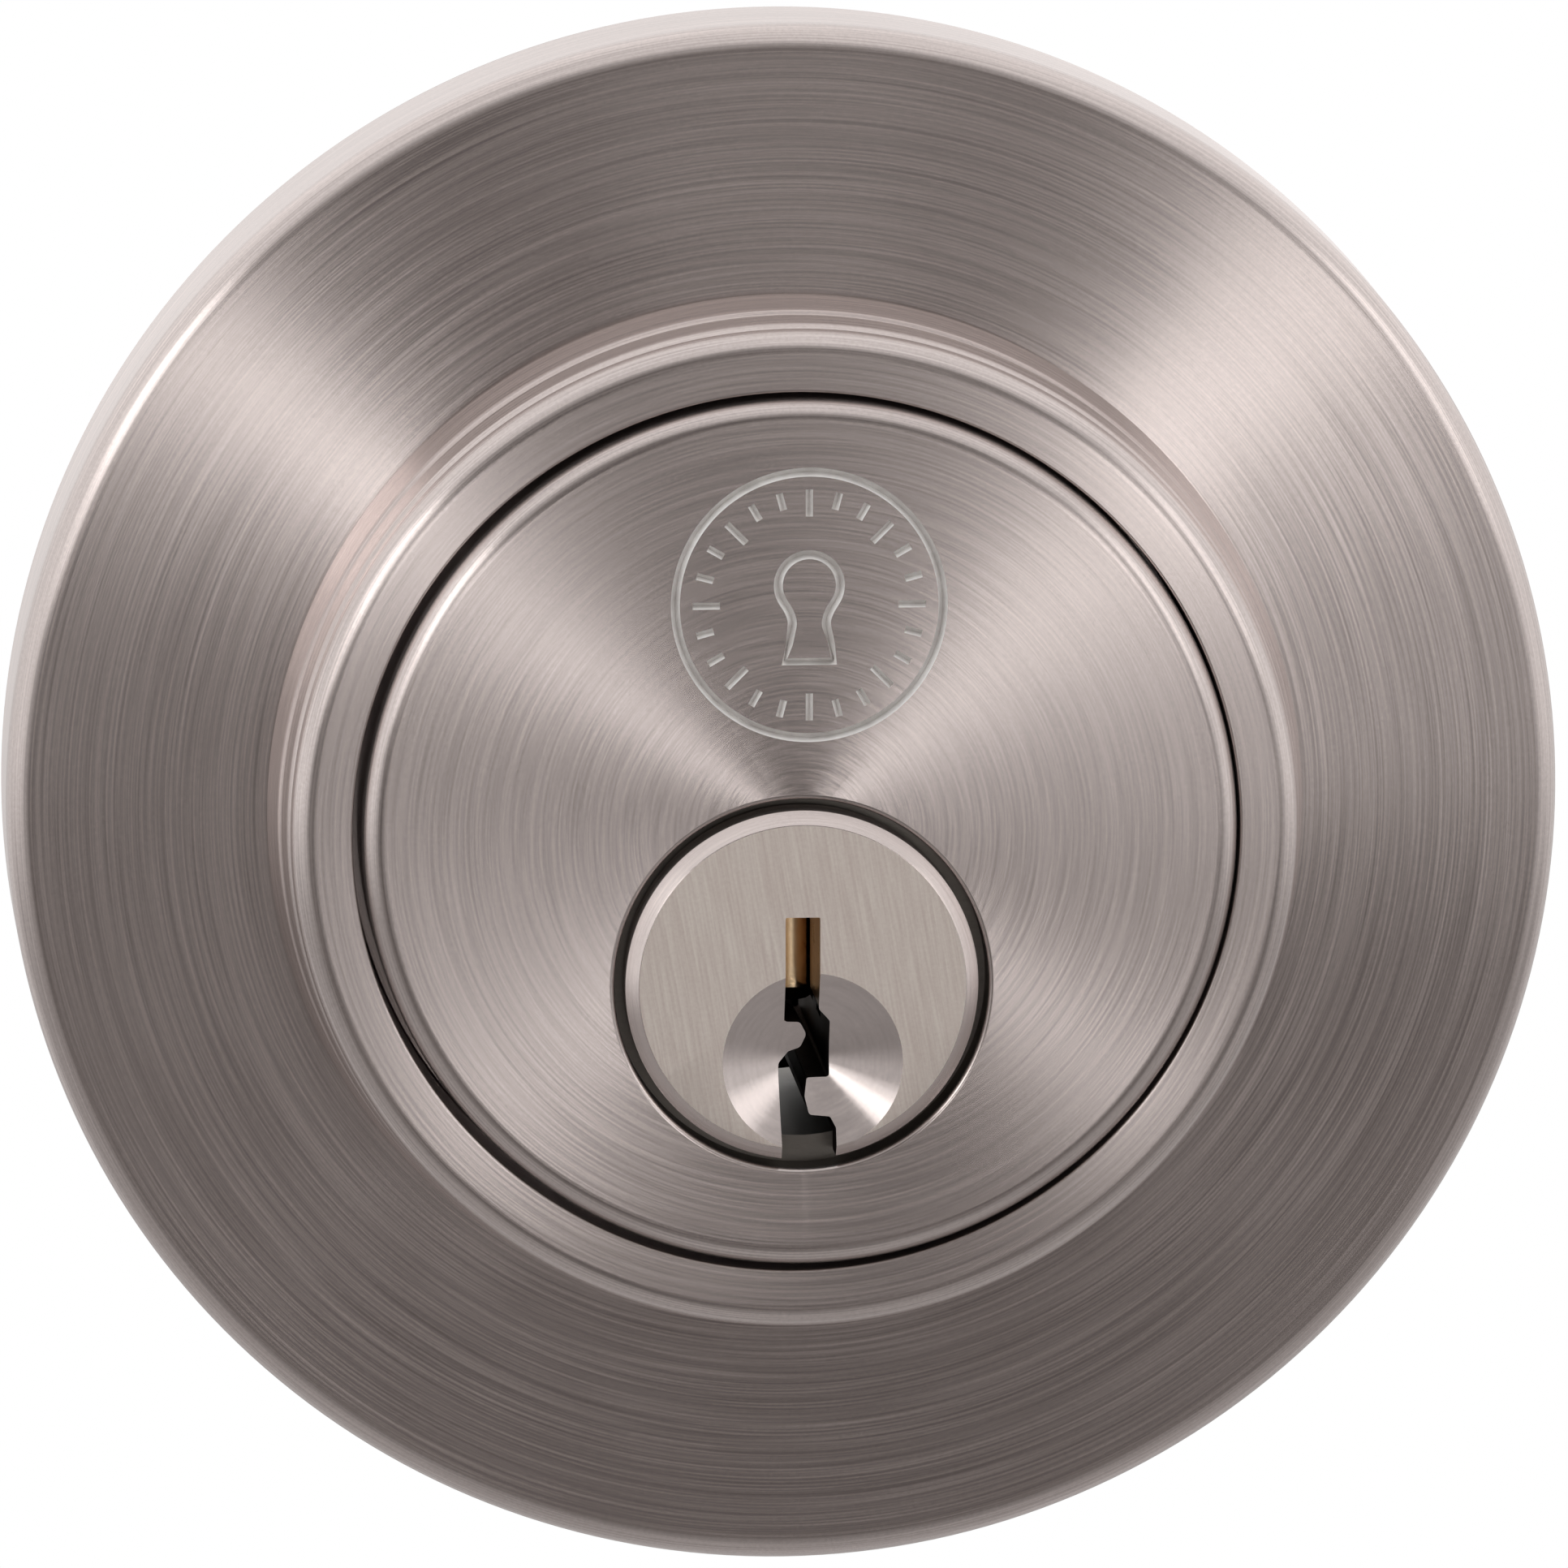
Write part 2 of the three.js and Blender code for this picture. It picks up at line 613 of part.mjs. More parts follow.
// The grip that a person turns: a tapered paddle on a round foot.
function thumbturn() {
  const foot = turned([[0, 8.8], [9.4, 8.8], [9.8, 9.2], [9.8, 10.6], [8.6, 11.8], [0, 11.8]], 40);
  const shape = new THREE.Shape();
  shape.absarc(0, 15.5, 3.6, 0, Math.PI);
  shape.lineTo(-5, 0);
  shape.absarc(0, -15.5, 3.6, Math.PI, 2 * Math.PI);
  shape.lineTo(5, 0);
  const options = {
    depth: 11.4,
    bevelEnabled: true,
    bevelThickness: 1.6,
    bevelSize: 1.6,
    bevelSegments: 2,
    curveSegments: 6,
  };
  const paddle = new THREE.ExtrudeGeometry(shape, options).rotateX(Math.PI / 2).translate(0, 24.4, 0);
  const socket = rodY(3.8, 7, 15.3, ROUND);
  return cut(join(foot, paddle), socket);
}

function mountingScrew() {
  const head = ROSE.topH + 0.7;
  const end = 5 - DOOR;
  const outline = [
    [0, end],
    ...threadRidges(1.75, 2.15, end, end + 12, 2),
    [1.75, end + 12],
    [2.15, end + 12.8],
    [2.15, head - 2.8],
    [4.1, head - 0.8],
    [3.2, head - 0.2],
    [0, head],
  ];
  return cut(turned(outline, SMALL), ...crossRecess(head, 1.9, 2.1));
}

// ---------------------------------------------------------------- assembly

const lock = new THREE.Group();

const outside = new THREE.Group();
place(outside, "outer_rose", outerRose(), steelBrushed);
place(outside, "guard_collar", guardCollar(), steelBrushed);
place(outside, "cylinder_body", cylinderBody(), steelBrushed);
place(outside, "cylinder_plate", cylinderPlate(), steelPlated);
for (const [side, sign] of [["left", -1], ["right", 1]]) {
  place(outside, `cylinder_screw_${side}`, cylinderScrew(), steelPlated, sign * LUG.x, 0, LUG.z);
  place(outside, `post_${side}`, post(), steelPlated, sign * SCREW_X, 0, -PLUG_DROP);
}
lock.add(outside);

// Everything that is centred on the plug axis: plug, pins, springs and tailpiece.
const plugAxis = new THREE.Group();
plugAxis.position.z = -PLUG_DROP;
place(plugAxis, "plug", plug(), nickel);
place(plugAxis, "plug_cap", plugCap(), brass);
place(plugAxis, "tailpiece", tailpiece(), steelPlated);
place(plugAxis, "spring_cover", springCover(), brass);
pinYs.forEach((y, i) => {
  place(plugAxis, `key_pin_${i + 1}`, keyPin(KEY_PIN_TIPS[i]), brass, 0, y);
  place(plugAxis, `driver_pin_${i + 1}`, driverPin(), brass, 0, y);
  place(plugAxis, `pin_spring_${i + 1}`, pinSpring(), steelPlated, 0, y);
});
lock.add(plugAxis);

const boltUnit = new THREE.Group();
boltUnit.position.y = DOOR / 2;
place(boltUnit, "bolt", deadbolt(), steelBrushed);
place(boltUnit, "bolt_tail", boltTail(), steelPlated);
place(boltUnit, "tail_pin", rodY(1.4, -6.3, 6.3), steelPlated, 27.5, 0, 4.5);
place(boltUnit, "hardened_insert", rodX(2.3, 24.6, 56.6, 16), steelDark, 0, 0, -4);
place(boltUnit, "bolt_tube", boltTube(), steelPlated);
place(boltUnit, "case_end_ring", caseEndRing(), steelPlated);
place(boltUnit, "case_cheek_outside", caseCheek(-CASE_INNER - CHEEK, -CASE_INNER), steelPlated);
place(boltUnit, "case_cheek_inside", caseCheek(CASE_INNER, CASE_INNER + CHEEK), steelPlated);
place(boltUnit, "case_rivet_front", caseRivet(), steelPlated, 10.5, 0, -8.6);
place(boltUnit, "case_rivet_rear", caseRivet(), steelPlated, -10.5, 0, -8.6);
place(boltUnit, "backplate", backplate(), steelPlated);
place(boltUnit, "faceplate", faceplate(), steelBrushed);
place(boltUnit, "face_screw_upper", faceScrew(), steelPlated, 0, 0, FACE_SCREW_Z);
place(boltUnit, "face_screw_lower", faceScrew(), steelPlated, 0, 0, -FACE_SCREW_Z);

const crankAxis = new THREE.Group();
crankAxis.position.z = -PLUG_DROP;
crankAxis.rotation.y = radians(-45);
place(crankAxis, "crank", crank(), zinc);
place(crankAxis, "crank_pin", rodY(CRANK_PIN_R, -4.6, 4.6, 16), steelPlated, 0, 0, CRANK_ARM);
boltUnit.add(crankAxis);
lock.add(boltUnit);

const inside = new THREE.Group();
inside.position.y = DOOR;
place(inside, "inner_plate", innerPlate(), steelPlated);
place(inside, "inner_rose", innerRose(), steelBrushed);
place(inside, "turn_bushing", turnBushing(), nylon, 0, 0, -PLUG_DROP);
place(inside, "wave_washer", waveWasher(), steelPlated, 0, 0, -PLUG_DROP);
place(inside, "turn_spindle", turnSpindle(), zinc, 0, 0, -PLUG_DROP);
place(inside, "spindle_clip", spindleClip(), steelPlated, 0, 0, -PLUG_DROP);
place(inside, "thumbturn", thumbturn(), steelBrushed, 0, 0, -PLUG_DROP);
place(inside, "mounting_screw_left", mountingScrew(), steelPlated, -SCREW_X, 0, -PLUG_DROP);
place(inside, "mounting_screw_right", mountingScrew(), steelPlated, SCREW_X, 0, -PLUG_DROP);
lock.add(inside);

export default lock;
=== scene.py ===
# Looks for the deadbolt lock. Metres, in the CAD's own frame: +X to the door's edge, +Y into the room, +Z up.
# Outlines are written in millimetres, with heights outside the door counted outwards (towards -Y).

import math

import bmesh
import bpy
from mathutils import Matrix, Vector


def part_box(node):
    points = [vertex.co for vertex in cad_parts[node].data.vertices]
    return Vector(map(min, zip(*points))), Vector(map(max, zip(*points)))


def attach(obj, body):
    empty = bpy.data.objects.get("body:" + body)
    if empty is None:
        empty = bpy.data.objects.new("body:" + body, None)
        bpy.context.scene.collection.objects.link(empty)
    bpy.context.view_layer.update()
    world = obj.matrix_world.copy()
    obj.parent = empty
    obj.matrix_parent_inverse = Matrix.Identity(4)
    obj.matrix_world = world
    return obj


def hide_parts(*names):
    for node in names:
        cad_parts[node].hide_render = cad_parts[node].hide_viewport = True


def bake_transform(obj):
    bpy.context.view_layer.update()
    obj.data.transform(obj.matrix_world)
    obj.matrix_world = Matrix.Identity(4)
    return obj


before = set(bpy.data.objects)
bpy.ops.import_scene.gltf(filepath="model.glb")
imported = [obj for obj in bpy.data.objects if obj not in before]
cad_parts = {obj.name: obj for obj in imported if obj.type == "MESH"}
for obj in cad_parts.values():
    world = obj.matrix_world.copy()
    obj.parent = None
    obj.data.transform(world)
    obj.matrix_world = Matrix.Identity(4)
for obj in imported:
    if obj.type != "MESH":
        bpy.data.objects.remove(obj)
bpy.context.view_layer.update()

MM = 0.001
ROOT = "lock_frame"


def box_mm(node):
    """The low and high corners of a CAD node, in mm."""
    low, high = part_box(node)
    return low / MM, high / MM


# ---------------------------------------------------------------- sizes read from the frame, in mm

ROSE_LOW, ROSE_HIGH = box_mm("outer_rose")
ROSE_R = ROSE_HIGH.x
COLLAR_LOW, COLLAR_HIGH = box_mm("guard_collar")
COLLAR_R = COLLAR_HIGH.x
COLLAR_H = -COLLAR_LOW.y
COLLAR_BACK = -COLLAR_HIGH.y
CYL_LOW, CYL_HIGH = box_mm("cylinder_body")
DISC_R = CYL_HIGH.x
DISC_H = -CYL_LOW.y
CYL_END = CYL_HIGH.y
PLUG_LOW, PLUG_HIGH = box_mm("plug")
PLUG_H = -PLUG_LOW.y
PLUG_R = PLUG_HIGH.x
PLUG_END = PLUG_HIGH.y
PLUG_Z = -6.1  # the plug's axis
DOOR = box_mm("inner_rose")[0].y  # the door's inside face; its outside face is at 0
BOLT_Y = DOOR / 2
SCREW_X = 17.5  # the long screws and their posts, level with the plug's axis
LUG_X, LUG_Z = 12, 2  # the cylinder body's own two screws
FACE_SCREW_Z = 20.6
PIN_R, CHAMBER_R = 1.4, 1.56
PIN_YS = [-PLUG_H + 6.8 + 3.9 * k for k in range(5)]

CENTRE = (0, 0)
PLUG_CENTRE = (0, PLUG_Z)
DIMPLE_CENTRE = (0.4, PLUG_Z - 3.1)
EMBLEM_CENTRE = (0.3, 9.4)
COLLAR_CENTRE = (-0.13, -0.02)  # the loose collar sits a little to one side


# ---------------------------------------------------------------- mesh making

def rounded(corners, steps=6):
    """The points of an outline given as corners (u, v) or (u, v, fillet radius)."""
    points = []
    count = len(corners)
    for i, corner in enumerate(corners):
        here = Vector(corner[:2])
        radius = corner[2] if len(corner) > 2 else 0
        before = Vector(corners[i - 1][:2]) - here
        after = Vector(corners[(i + 1) % count][:2]) - here
        if radius <= 0 or before.length < 1e-9 or after.length < 1e-9:
            points.append(tuple(here))
            continue
        before.normalize()
        after.normalize()
        half = before.angle(after) / 2
        reach = radius / math.tan(half)
        middle = here + (before + after).normalized() * (radius / math.sin(half))
        start = here + before * reach - middle
        end = here + after * reach - middle
        for k in range(steps + 1):
            blend = start.normalized().slerp(end.normalized(), k / steps)
            points.append(tuple(middle + blend * radius))
    return points


def new_piece(name, bm, slots):
    """A scene object made from bm, with the materials in slots."""
    bmesh.ops.remove_doubles(bm, verts=bm.verts, dist=1e-7)
    bmesh.ops.recalc_face_normals(bm, faces=bm.faces)
    mesh = bpy.data.meshes.new(name)
    bm.to_mesh(mesh)
    bm.free()
    obj = bpy.data.objects.new(name, mesh)
    bpy.context.scene.collection.objects.link(obj)
    for material in slots:
        mesh.materials.append(material)
    return obj


AXES = {
    "Y": Matrix.Identity(3),
    "X": Matrix.Rotation(math.radians(-90), 3, "Z"),
    "Z": Matrix.Rotation(math.radians(90), 3, "X"),
}


def lathe(name, outline, slots, centre=CENTRE, segments=192, bands=None, along="Y", relief=None):
    """Turns an outline of (radius, position) in mm about an axis through centre, (x, z) or (x, y, z). The
    outline starts and ends on the axis, or closes on itself. bands gives each stretch its material, and
    relief(position, angle) is added to the radius."""
    bm = bmesh.new()
    turn = AXES[along]
    offset = Vector((centre[0], 0, centre[1])) if len(centre) == 2 else Vector(centre)
    rings = []
    for r, y in outline:
        count = 1 if r < 1e-6 else segments
        ring = []
        for k in range(count):
            a = 2 * math.pi * k / count
            reach = r + relief(y, a) if relief and count > 1 else r
            point = turn @ Vector((reach * math.cos(a), y, reach * math.sin(a)))
            ring.append(bm.verts.new((point + offset) * MM))
        rings.append(ring)
    open_ended = len(rings[0]) == 1 and len(rings[-1]) == 1
    pairs = list(zip(rings, rings[1:] if open_ended else rings[1:] + rings[:1]))
    for index, (a, b) in enumerate(pairs):
        if len(a) == 1 and len(b) == 1:
            continue
        for k in range(segments):
            j = (k + 1) % segments
            if len(a) == 1:
                corners = (a[0], b[j], b[k])
            elif len(b) == 1:
                corners = (a[k], a[j], b[0])
            else:
                corners = (a[k], a[j], b[j], b[k])
            face = bm.faces.new(corners)
            face.material_index = bands(index) if bands else 0
    return new_piece(name, bm, slots)


def inset(points, distance):
    """A closed outline moved inwards by distance."""
    area = sum(a[0] * b[1] - b[0] * a[1] for a, b in zip(points, points[1:] + points[:1]))
    side = 1 if area > 0 else -1
    moved = []
    for i, point in enumerate(points):
        here = Vector(point)
        d0 = (here - Vector(points[i - 1])).normalized()
        d1 = (Vector(points[(i + 1) % len(points)]) - here).normalized()
        n0 = Vector((-d0.y, d0.x)) * side
        n1 = Vector((-d1.y, d1.x)) * side
        middle = (n0 + n1).normalized()
        moved.append(tuple(here + middle * (distance / max(0.4, middle.dot(n0)))))
    return moved


def flat_y(u, v, w):
    """An outline's point in x and z, raised along y."""
    return u, w, v


def flat_x(u, v, w):
    """An outline's point in y and z about the bolt's axis, raised along x."""
    return w, u + BOLT_Y, v


def arc_layers(low, high, edge, steps=5):
    """Heights and insets that round both ends of a prism."""
    arc = [math.radians(90 * k / steps) for k in range(steps + 1)]
    foot = [(low + edge * (1 - math.sin(a)), edge * (1 - math.cos(a))) for a in reversed(arc)]
    head = [(high - edge * (1 - math.sin(a)), edge * (1 - math.cos(a))) for a in arc]
    return foot + head


def prism(name, outline, low, high, slots, edge=0, place=flat_y, layers=None, cap=0):
    """An outline (u, v) in mm raised from low to high, with both ends rounded by edge or shaped by layers."""
    layers = layers or (arc_layers(low, high, edge) if edge else [(low, 0), (high, 0)])
    bm = bmesh.new()
    rings = []
    for w, depth in layers:
        points = inset(outline, depth) if depth > 1e-9 else outline
        rings.append([bm.verts.new(Vector(place(u, v, w)) * MM) for u, v in points])
    for a, b in zip(rings, rings[1:]):
        for k in range(len(a)):
            j = (k + 1) % len(a)
            bm.faces.new((a[k], a[j], b[j], b[k]))
    for end in (rings[0][::-1], rings[-1]):
        bm.faces.new(end).material_index = cap
    return new_piece(name, bm, slots)


def sweep(name, path, radius, slots, sides=10):
    """A round wire along a list of points in mm, with closed ends."""
    bm = bmesh.new()
    points = [Vector(p) for p in path]
    rings = []
    up = Vector((0, 0, 1))
    for i, point in enumerate(points):
        ahead = (points[min(i + 1, len(points) - 1)] - points[max(i - 1, 0)]).normalized()
        out = ahead.cross(up).normalized()
        lift = out.cross(ahead).normalized()
        ring = []
        for k in range(sides):
            a = 2 * math.pi * k / sides
            ring.append(bm.verts.new((point + (out * math.cos(a) + lift * math.sin(a)) * radius) * MM))
        rings.append(ring)
    for a, b in zip(rings, rings[1:]):
        for k in range(sides):
            j = (k + 1) % sides
            bm.faces.new((a[k], a[j], b[j], b[k]))
    bm.faces.new(rings[0])
    bm.faces.new(rings[-1][::-1])
    return new_piece(name, bm, slots)


def bake(obj):
    """Applies obj's modifiers."""
    graph = bpy.context.evaluated_depsgraph_get()
    mesh = bpy.data.meshes.new_from_object(obj.evaluated_get(graph))
    obj.modifiers.clear()
    obj.data = mesh


def combine(obj, others, operation):
    """Joins others to obj, or cuts them from it, and removes them."""
    for other in others:
        modifier = obj.modifiers.new(operation.lower(), "BOOLEAN")
        modifier.operation = operation
        modifier.solver = "EXACT"
        modifier.material_mode = "TRANSFER"
        modifier.object = other
    bake(obj)
    for other in others:
        bpy.data.objects.remove(other)
    return obj


def carve(obj, *cutters):
    return combine(obj, cutters, "DIFFERENCE")


def weld(obj, *others):
    return combine(obj, others, "UNION")


def smooth(obj, angle=30):
    """Smooth shading, broken where faces meet at more than angle."""
    bm = bmesh.new()
    bm.from_mesh(obj.data)
    limit = math.radians(angle)
    for face in bm.faces:
        face.smooth = True
    for edge in bm.edges:
        edge.smooth = len(edge.link_faces) == 2 and edge.calc_face_angle() < limit
    bm.to_mesh(obj.data)
    bm.free()
    normals = obj.modifiers.new("normals", "WEIGHTED_NORMAL")
    normals.keep_sharp = True
    return obj


def settle(obj, body, slot, *nodes, angle=30):
    """Shades a finished piece and fixes it to its body in place of the CAD nodes. Its slot, meant as the
    finish's name, is not used.
    """
    smooth(obj, angle)
    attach(obj, body)
    if nodes:
        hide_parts(*nodes)
    return obj


# ---------------------------------------------------------------- materials

class Nodes:
    """A material under construction, with short ways to add and join nodes."""

    def __init__(self, name):
        self.material = bpy.data.materials.new(name)
        self.material.use_nodes = True
        self.tree = self.material.node_tree
        self.shader = self.tree.nodes["Principled BSDF"]

    def add(self, kind, inputs=None, **settings):
        node = self.tree.nodes.new(kind)
        for key, value in settings.items():
            setattr(node, key, value)
        for key, value in (inputs or {}).items():
            self.feed(node.inputs[key], value)
        return node

    def feed(self, socket, value):
        if isinstance(value, bpy.types.NodeSocket):
            self.tree.links.new(value, socket)
        else:
            socket.default_value = value

    def math(self, operation, *values):
        return self.add("ShaderNodeMath", dict(enumerate(values)), operation=operation).outputs[0]

    def vector(self, operation, *values):
        return self.add("ShaderNodeVectorMath", dict(enumerate(values)), operation=operation).outputs[0]

    def scale(self, vector, factor):
        return self.add("ShaderNodeVectorMath", {0: vector, "Scale": factor}, operation="SCALE").outputs[0]

    def place(self):
        return self.add("ShaderNodeTexCoord").outputs["Object"]

    def noise(self, vector, scale, detail=3, rough=0.55):
        inputs = {"Vector": vector, "Scale": scale, "Detail": detail, "Roughness": rough}
        return self.add("ShaderNodeTexNoise", inputs).outputs["Fac"]

    def length(self, vector):
        return self.add("ShaderNodeVectorMath", {0: vector}, operation="LENGTH").outputs["Value"]

    def dot(self, a, b):
        return self.add("ShaderNodeVectorMath", {0: a, 1: tuple(b)}, operation="DOT_PRODUCT").outputs["Value"]

    def mix_of(self, *shares):
        """The sum of each value times its share."""
        total = 0.0
        for value, share in shares:
            total = self.math("MULTIPLY_ADD", value, share, total)
        return total

    def to_world(self, vector):
        settings = {"vector_type": "VECTOR", "convert_from": "OBJECT", "convert_to": "WORLD"}
        return self.add("ShaderNodeVectorTransform", {0: vector}, **settings).outputs[0]

    def between(self, value, low, high, start=0.25, stop=0.75):
        """A value that runs from start to stop, stretched to run from low to high."""
        inputs = {"Value": value, "From Min": start, "From Max": stop, "To Min": low, "To Max": high}
        return self.add("ShaderNodeMapRange", inputs).outputs[0]

    def tint(self, factor, dark, light):
        inputs = {0: factor, 6: (*dark, 1), 7: (*light, 1)}
        return self.add("ShaderNodeMix", inputs, data_type="RGBA").outputs[2]

    def bump(self, height, strength, distance):
        node = self.add("ShaderNodeBump", {"Height": height, "Strength": strength, "Distance": distance})
        self.feed(self.shader.inputs["Normal"], node.outputs[0])

    def metal(self, colour, roughness, anisotropy=0.0, grain=None):
        """Metal whose brushing runs along grain. Its highlights stretch across it, a quarter turn away."""
        self.feed(self.shader.inputs["Base Color"], colour)
        self.feed(self.shader.inputs["Roughness"], roughness)
        self.shader.inputs["Metallic"].default_value = 1.0
        self.shader.inputs["Anisotropic"].default_value = anisotropy
        if grain is not None:
            self.feed(self.shader.inputs["Tangent"], grain)
            self.shader.inputs["Anisotropic Rotation"].default_value = 0.25
        return self.material


GRAIN_SCALE = 7000
HAIR_DEPTH = 0.02 * MM
PIT_DEPTH = 0.01 * MM


def scaled(colour, factor):
    return tuple(min(1.0, c * factor) for c in colour)


def turned_metal(name, colour, centre, roughness=0.225, anisotropy=0.95, contrast=1.0):
    """Metal brushed in rings round an axis along y through centre (x, z) in mm."""
    n = Nodes(name)
    place = n.place()
    axis = (0, 1, 0)
    middle = (centre[0] * MM, 0, centre[1] * MM)
    spoke = n.vector("MULTIPLY", n.vector("SUBTRACT", place, middle), (1, 0, 1))
    across = n.vector("NORMALIZE", spoke)
    along_ring = n.vector("CROSS_PRODUCT", across, axis)
    radius = n.length(spoke)
    reach = n.math("ADD", radius, n.dot(place, axis))

    def rings(pitch, arcs):
        """Noise that changes every pitch mm from ring to ring, and arcs times a radian along a ring."""
        round_ring = n.scale(across, arcs)
        ring_to_ring = n.scale(axis, n.math("MULTIPLY", reach, 1 / (pitch * MM)))
        return n.noise(n.vector("ADD", round_ring, ring_to_ring), 1.0, 1.5, 0.6)

    wide, fine, hairs = rings(0.7, 0.6), rings(0.18, 1.2), rings(0.09, 2.8)
    grain = n.noise(place, GRAIN_SCALE, 2, 0.6)
    smudge = n.noise(place, 70, 4, 0.6)
    streak = n.mix_of((fine, 0.4), (hairs, 0.5), (wide, 0.1))
    tone = n.mix_of((streak, 0.8), (grain, 0.2))
    shade = 0.2 * contrast
    colour = n.tint(n.between(tone, 0, 1, 0.34, 0.66), scaled(colour, 1 - shade), scaled(colour, 1 + shade))
    streaky = n.between(streak, -0.025, 0.025, 0.3, 0.7)
    rough = n.math("ADD", streaky, n.between(smudge, roughness - 0.01, roughness + 0.02))
    sway = n.scale(across, n.between(hairs, -0.03, 0.03, 0.3, 0.7))
    n.bump(n.mix_of((hairs, 0.75), (grain, 0.25)), 0.05, HAIR_DEPTH)
    return n.metal(colour, rough, anisotropy, n.to_world(n.vector("ADD", along_ring, sway)))


def brushed_metal(name, colour, direction, roughness=0.27, anisotropy=0.9, normal=(0, 1, 0), pitch=0.16):
    """Metal brushed in straight lines along direction."""
    n = Nodes(name)
    place = n.place()
    run = Vector(direction).normalized()
    cross = run.cross(Vector(normal)).normalized()
    along, over, deep = n.dot(place, run), n.dot(place, cross), n.dot(place, normal)

    def lines(pitch, stretch):
        rate = 1 / (pitch * MM)
        parts = {"X": n.math("MULTIPLY", along, rate / stretch), "Y": n.math("MULTIPLY", over, rate),
                 "Z": n.math("MULTIPLY", deep, rate)}
        return n.noise(n.add("ShaderNodeCombineXYZ", parts).outputs[0], 1.0, 1.5, 0.6)

    wide, fine = lines(pitch * 2.5, 18), lines(pitch, 24)
    grain = n.noise(place, GRAIN_SCALE, 2, 0.6)
    smudge = n.noise(place, 90, 4, 0.6)
    tone = n.mix_of((fine, 0.5), (wide, 0.25), (grain, 0.25))
    colour = n.tint(n.between(tone, 0, 1, 0.36, 0.64), scaled(colour, 0.88), scaled(colour, 1.1))
    rough = n.math("ADD", n.between(fine, -0.03, 0.03), n.between(smudge, roughness - 0.01, roughness + 0.02))
    n.bump(n.mix_of((fine, 0.6), (grain, 0.4)), 0.15, HAIR_DEPTH)
    return n.metal(colour, rough, anisotropy, n.to_world(tuple(run)))


def mottled_metal(name, dark, light, roughness, patch=260, grit=5000, strength=0.4, glare=None):
    """Plated, cast or plain metal: blotches of tone, with fine grit in its roughness and surface. glare is
    the colour of its grazing reflections, white if not given."""
    n = Nodes(name)
    place = n.place()
    blotch = n.noise(place, patch, 5, 0.65)
    speck = n.noise(place, grit, 3, 0.6)
    scratch = n.noise(n.vector("MULTIPLY", place, (900, 9000, 2600)), 1.0, 3, 0.7)
    tone = n.math("ADD", n.math("MULTIPLY", blotch, 0.6), n.math("MULTIPLY", scratch, 0.4))
    colour = n.tint(n.between(tone, 0, 1, 0.35, 0.65), dark, light)
    patchy = n.between(blotch, roughness - 0.06, roughness + 0.08)
    rough = n.math("ADD", patchy, n.between(scratch, -0.04, 0.06))
    n.bump(n.math("ADD", speck, n.math("MULTIPLY", scratch, 0.4)), strength, PIT_DEPTH)
    if glare:
        n.shader.inputs["Specular Tint"].default_value = (*glare, 1)
    return n.metal(colour, rough)


def nylon(name):
    n = Nodes(name)
    place = n.place()
    cloud = n.noise(place, 300, 4)
    n.feed(n.shader.inputs["Base Color"], n.tint(cloud, (0.66, 0.63, 0.54), (0.76, 0.74, 0.66)))
    n.feed(n.shader.inputs["Roughness"], n.between(n.noise(place, 1500), 0.42, 0.6))
    n.shader.inputs["Subsurface Weight"].default_value = 0.1
    n.bump(n.noise(place, 4000), 0.2, PIT_DEPTH)
    return n.material


NICKEL = (0.62, 0.547, 0.524)
STEEL = (0.60, 0.58, 0.565)
BRASS = (0.72, 0.46, 0.2)

trim = turned_metal("trim_turned", NICKEL, CENTRE)
collar_trim = turned_metal("collar_turned", NICKEL, COLLAR_CENTRE)
disc_trim = turned_metal("disc_turned", NICKEL, CENTRE)
engraved = mottled_metal("engraved_frost", (0.74, 0.71, 0.69), (0.92, 0.9, 0.88), 0.45, 800, 9000, 0.3)
hole_edge = turned_metal("hole_edge_turned", NICKEL, PLUG_CENTRE)
bore_metal = mottled_metal("machined_bore", (0.16, 0.145, 0.13), (0.26, 0.235, 0.21), 0.4)
# Painted highlight: the plug face's brushed nickel is lightened to about one and a half times the nickel of
# the plug's sides, standing in for the light the face catches.
plug_face = brushed_metal("plug_face", (0.96, 0.83, 0.76), (-0.17, 0, 0.98), 0.47, anisotropy=0.6, pitch=0.11)
plug_turned = turned_metal("plug_turned", scaled(NICKEL, 1.1), PLUG_CENTRE, contrast=0.5)
dimple_turned = turned_metal("dimple_turned", NICKEL, DIMPLE_CENTRE, roughness=0.22, contrast=0.5)
# Painted shade: the keyway's warded part and the pin chambers in the plug get a near-black metal with dulled
# grazing reflections, standing in for the shade deep inside them.
keyway_shade_metal = mottled_metal(
    "keyway_broached_painted_shade", (0.02, 0.015, 0.015), (0.05, 0.04, 0.037), 0.45, glare=(0.2, 0.17, 0.15))
slot_brass = mottled_metal("slot_brass", (0.6, 0.45, 0.3), (0.8, 0.62, 0.44), 0.3, 900)
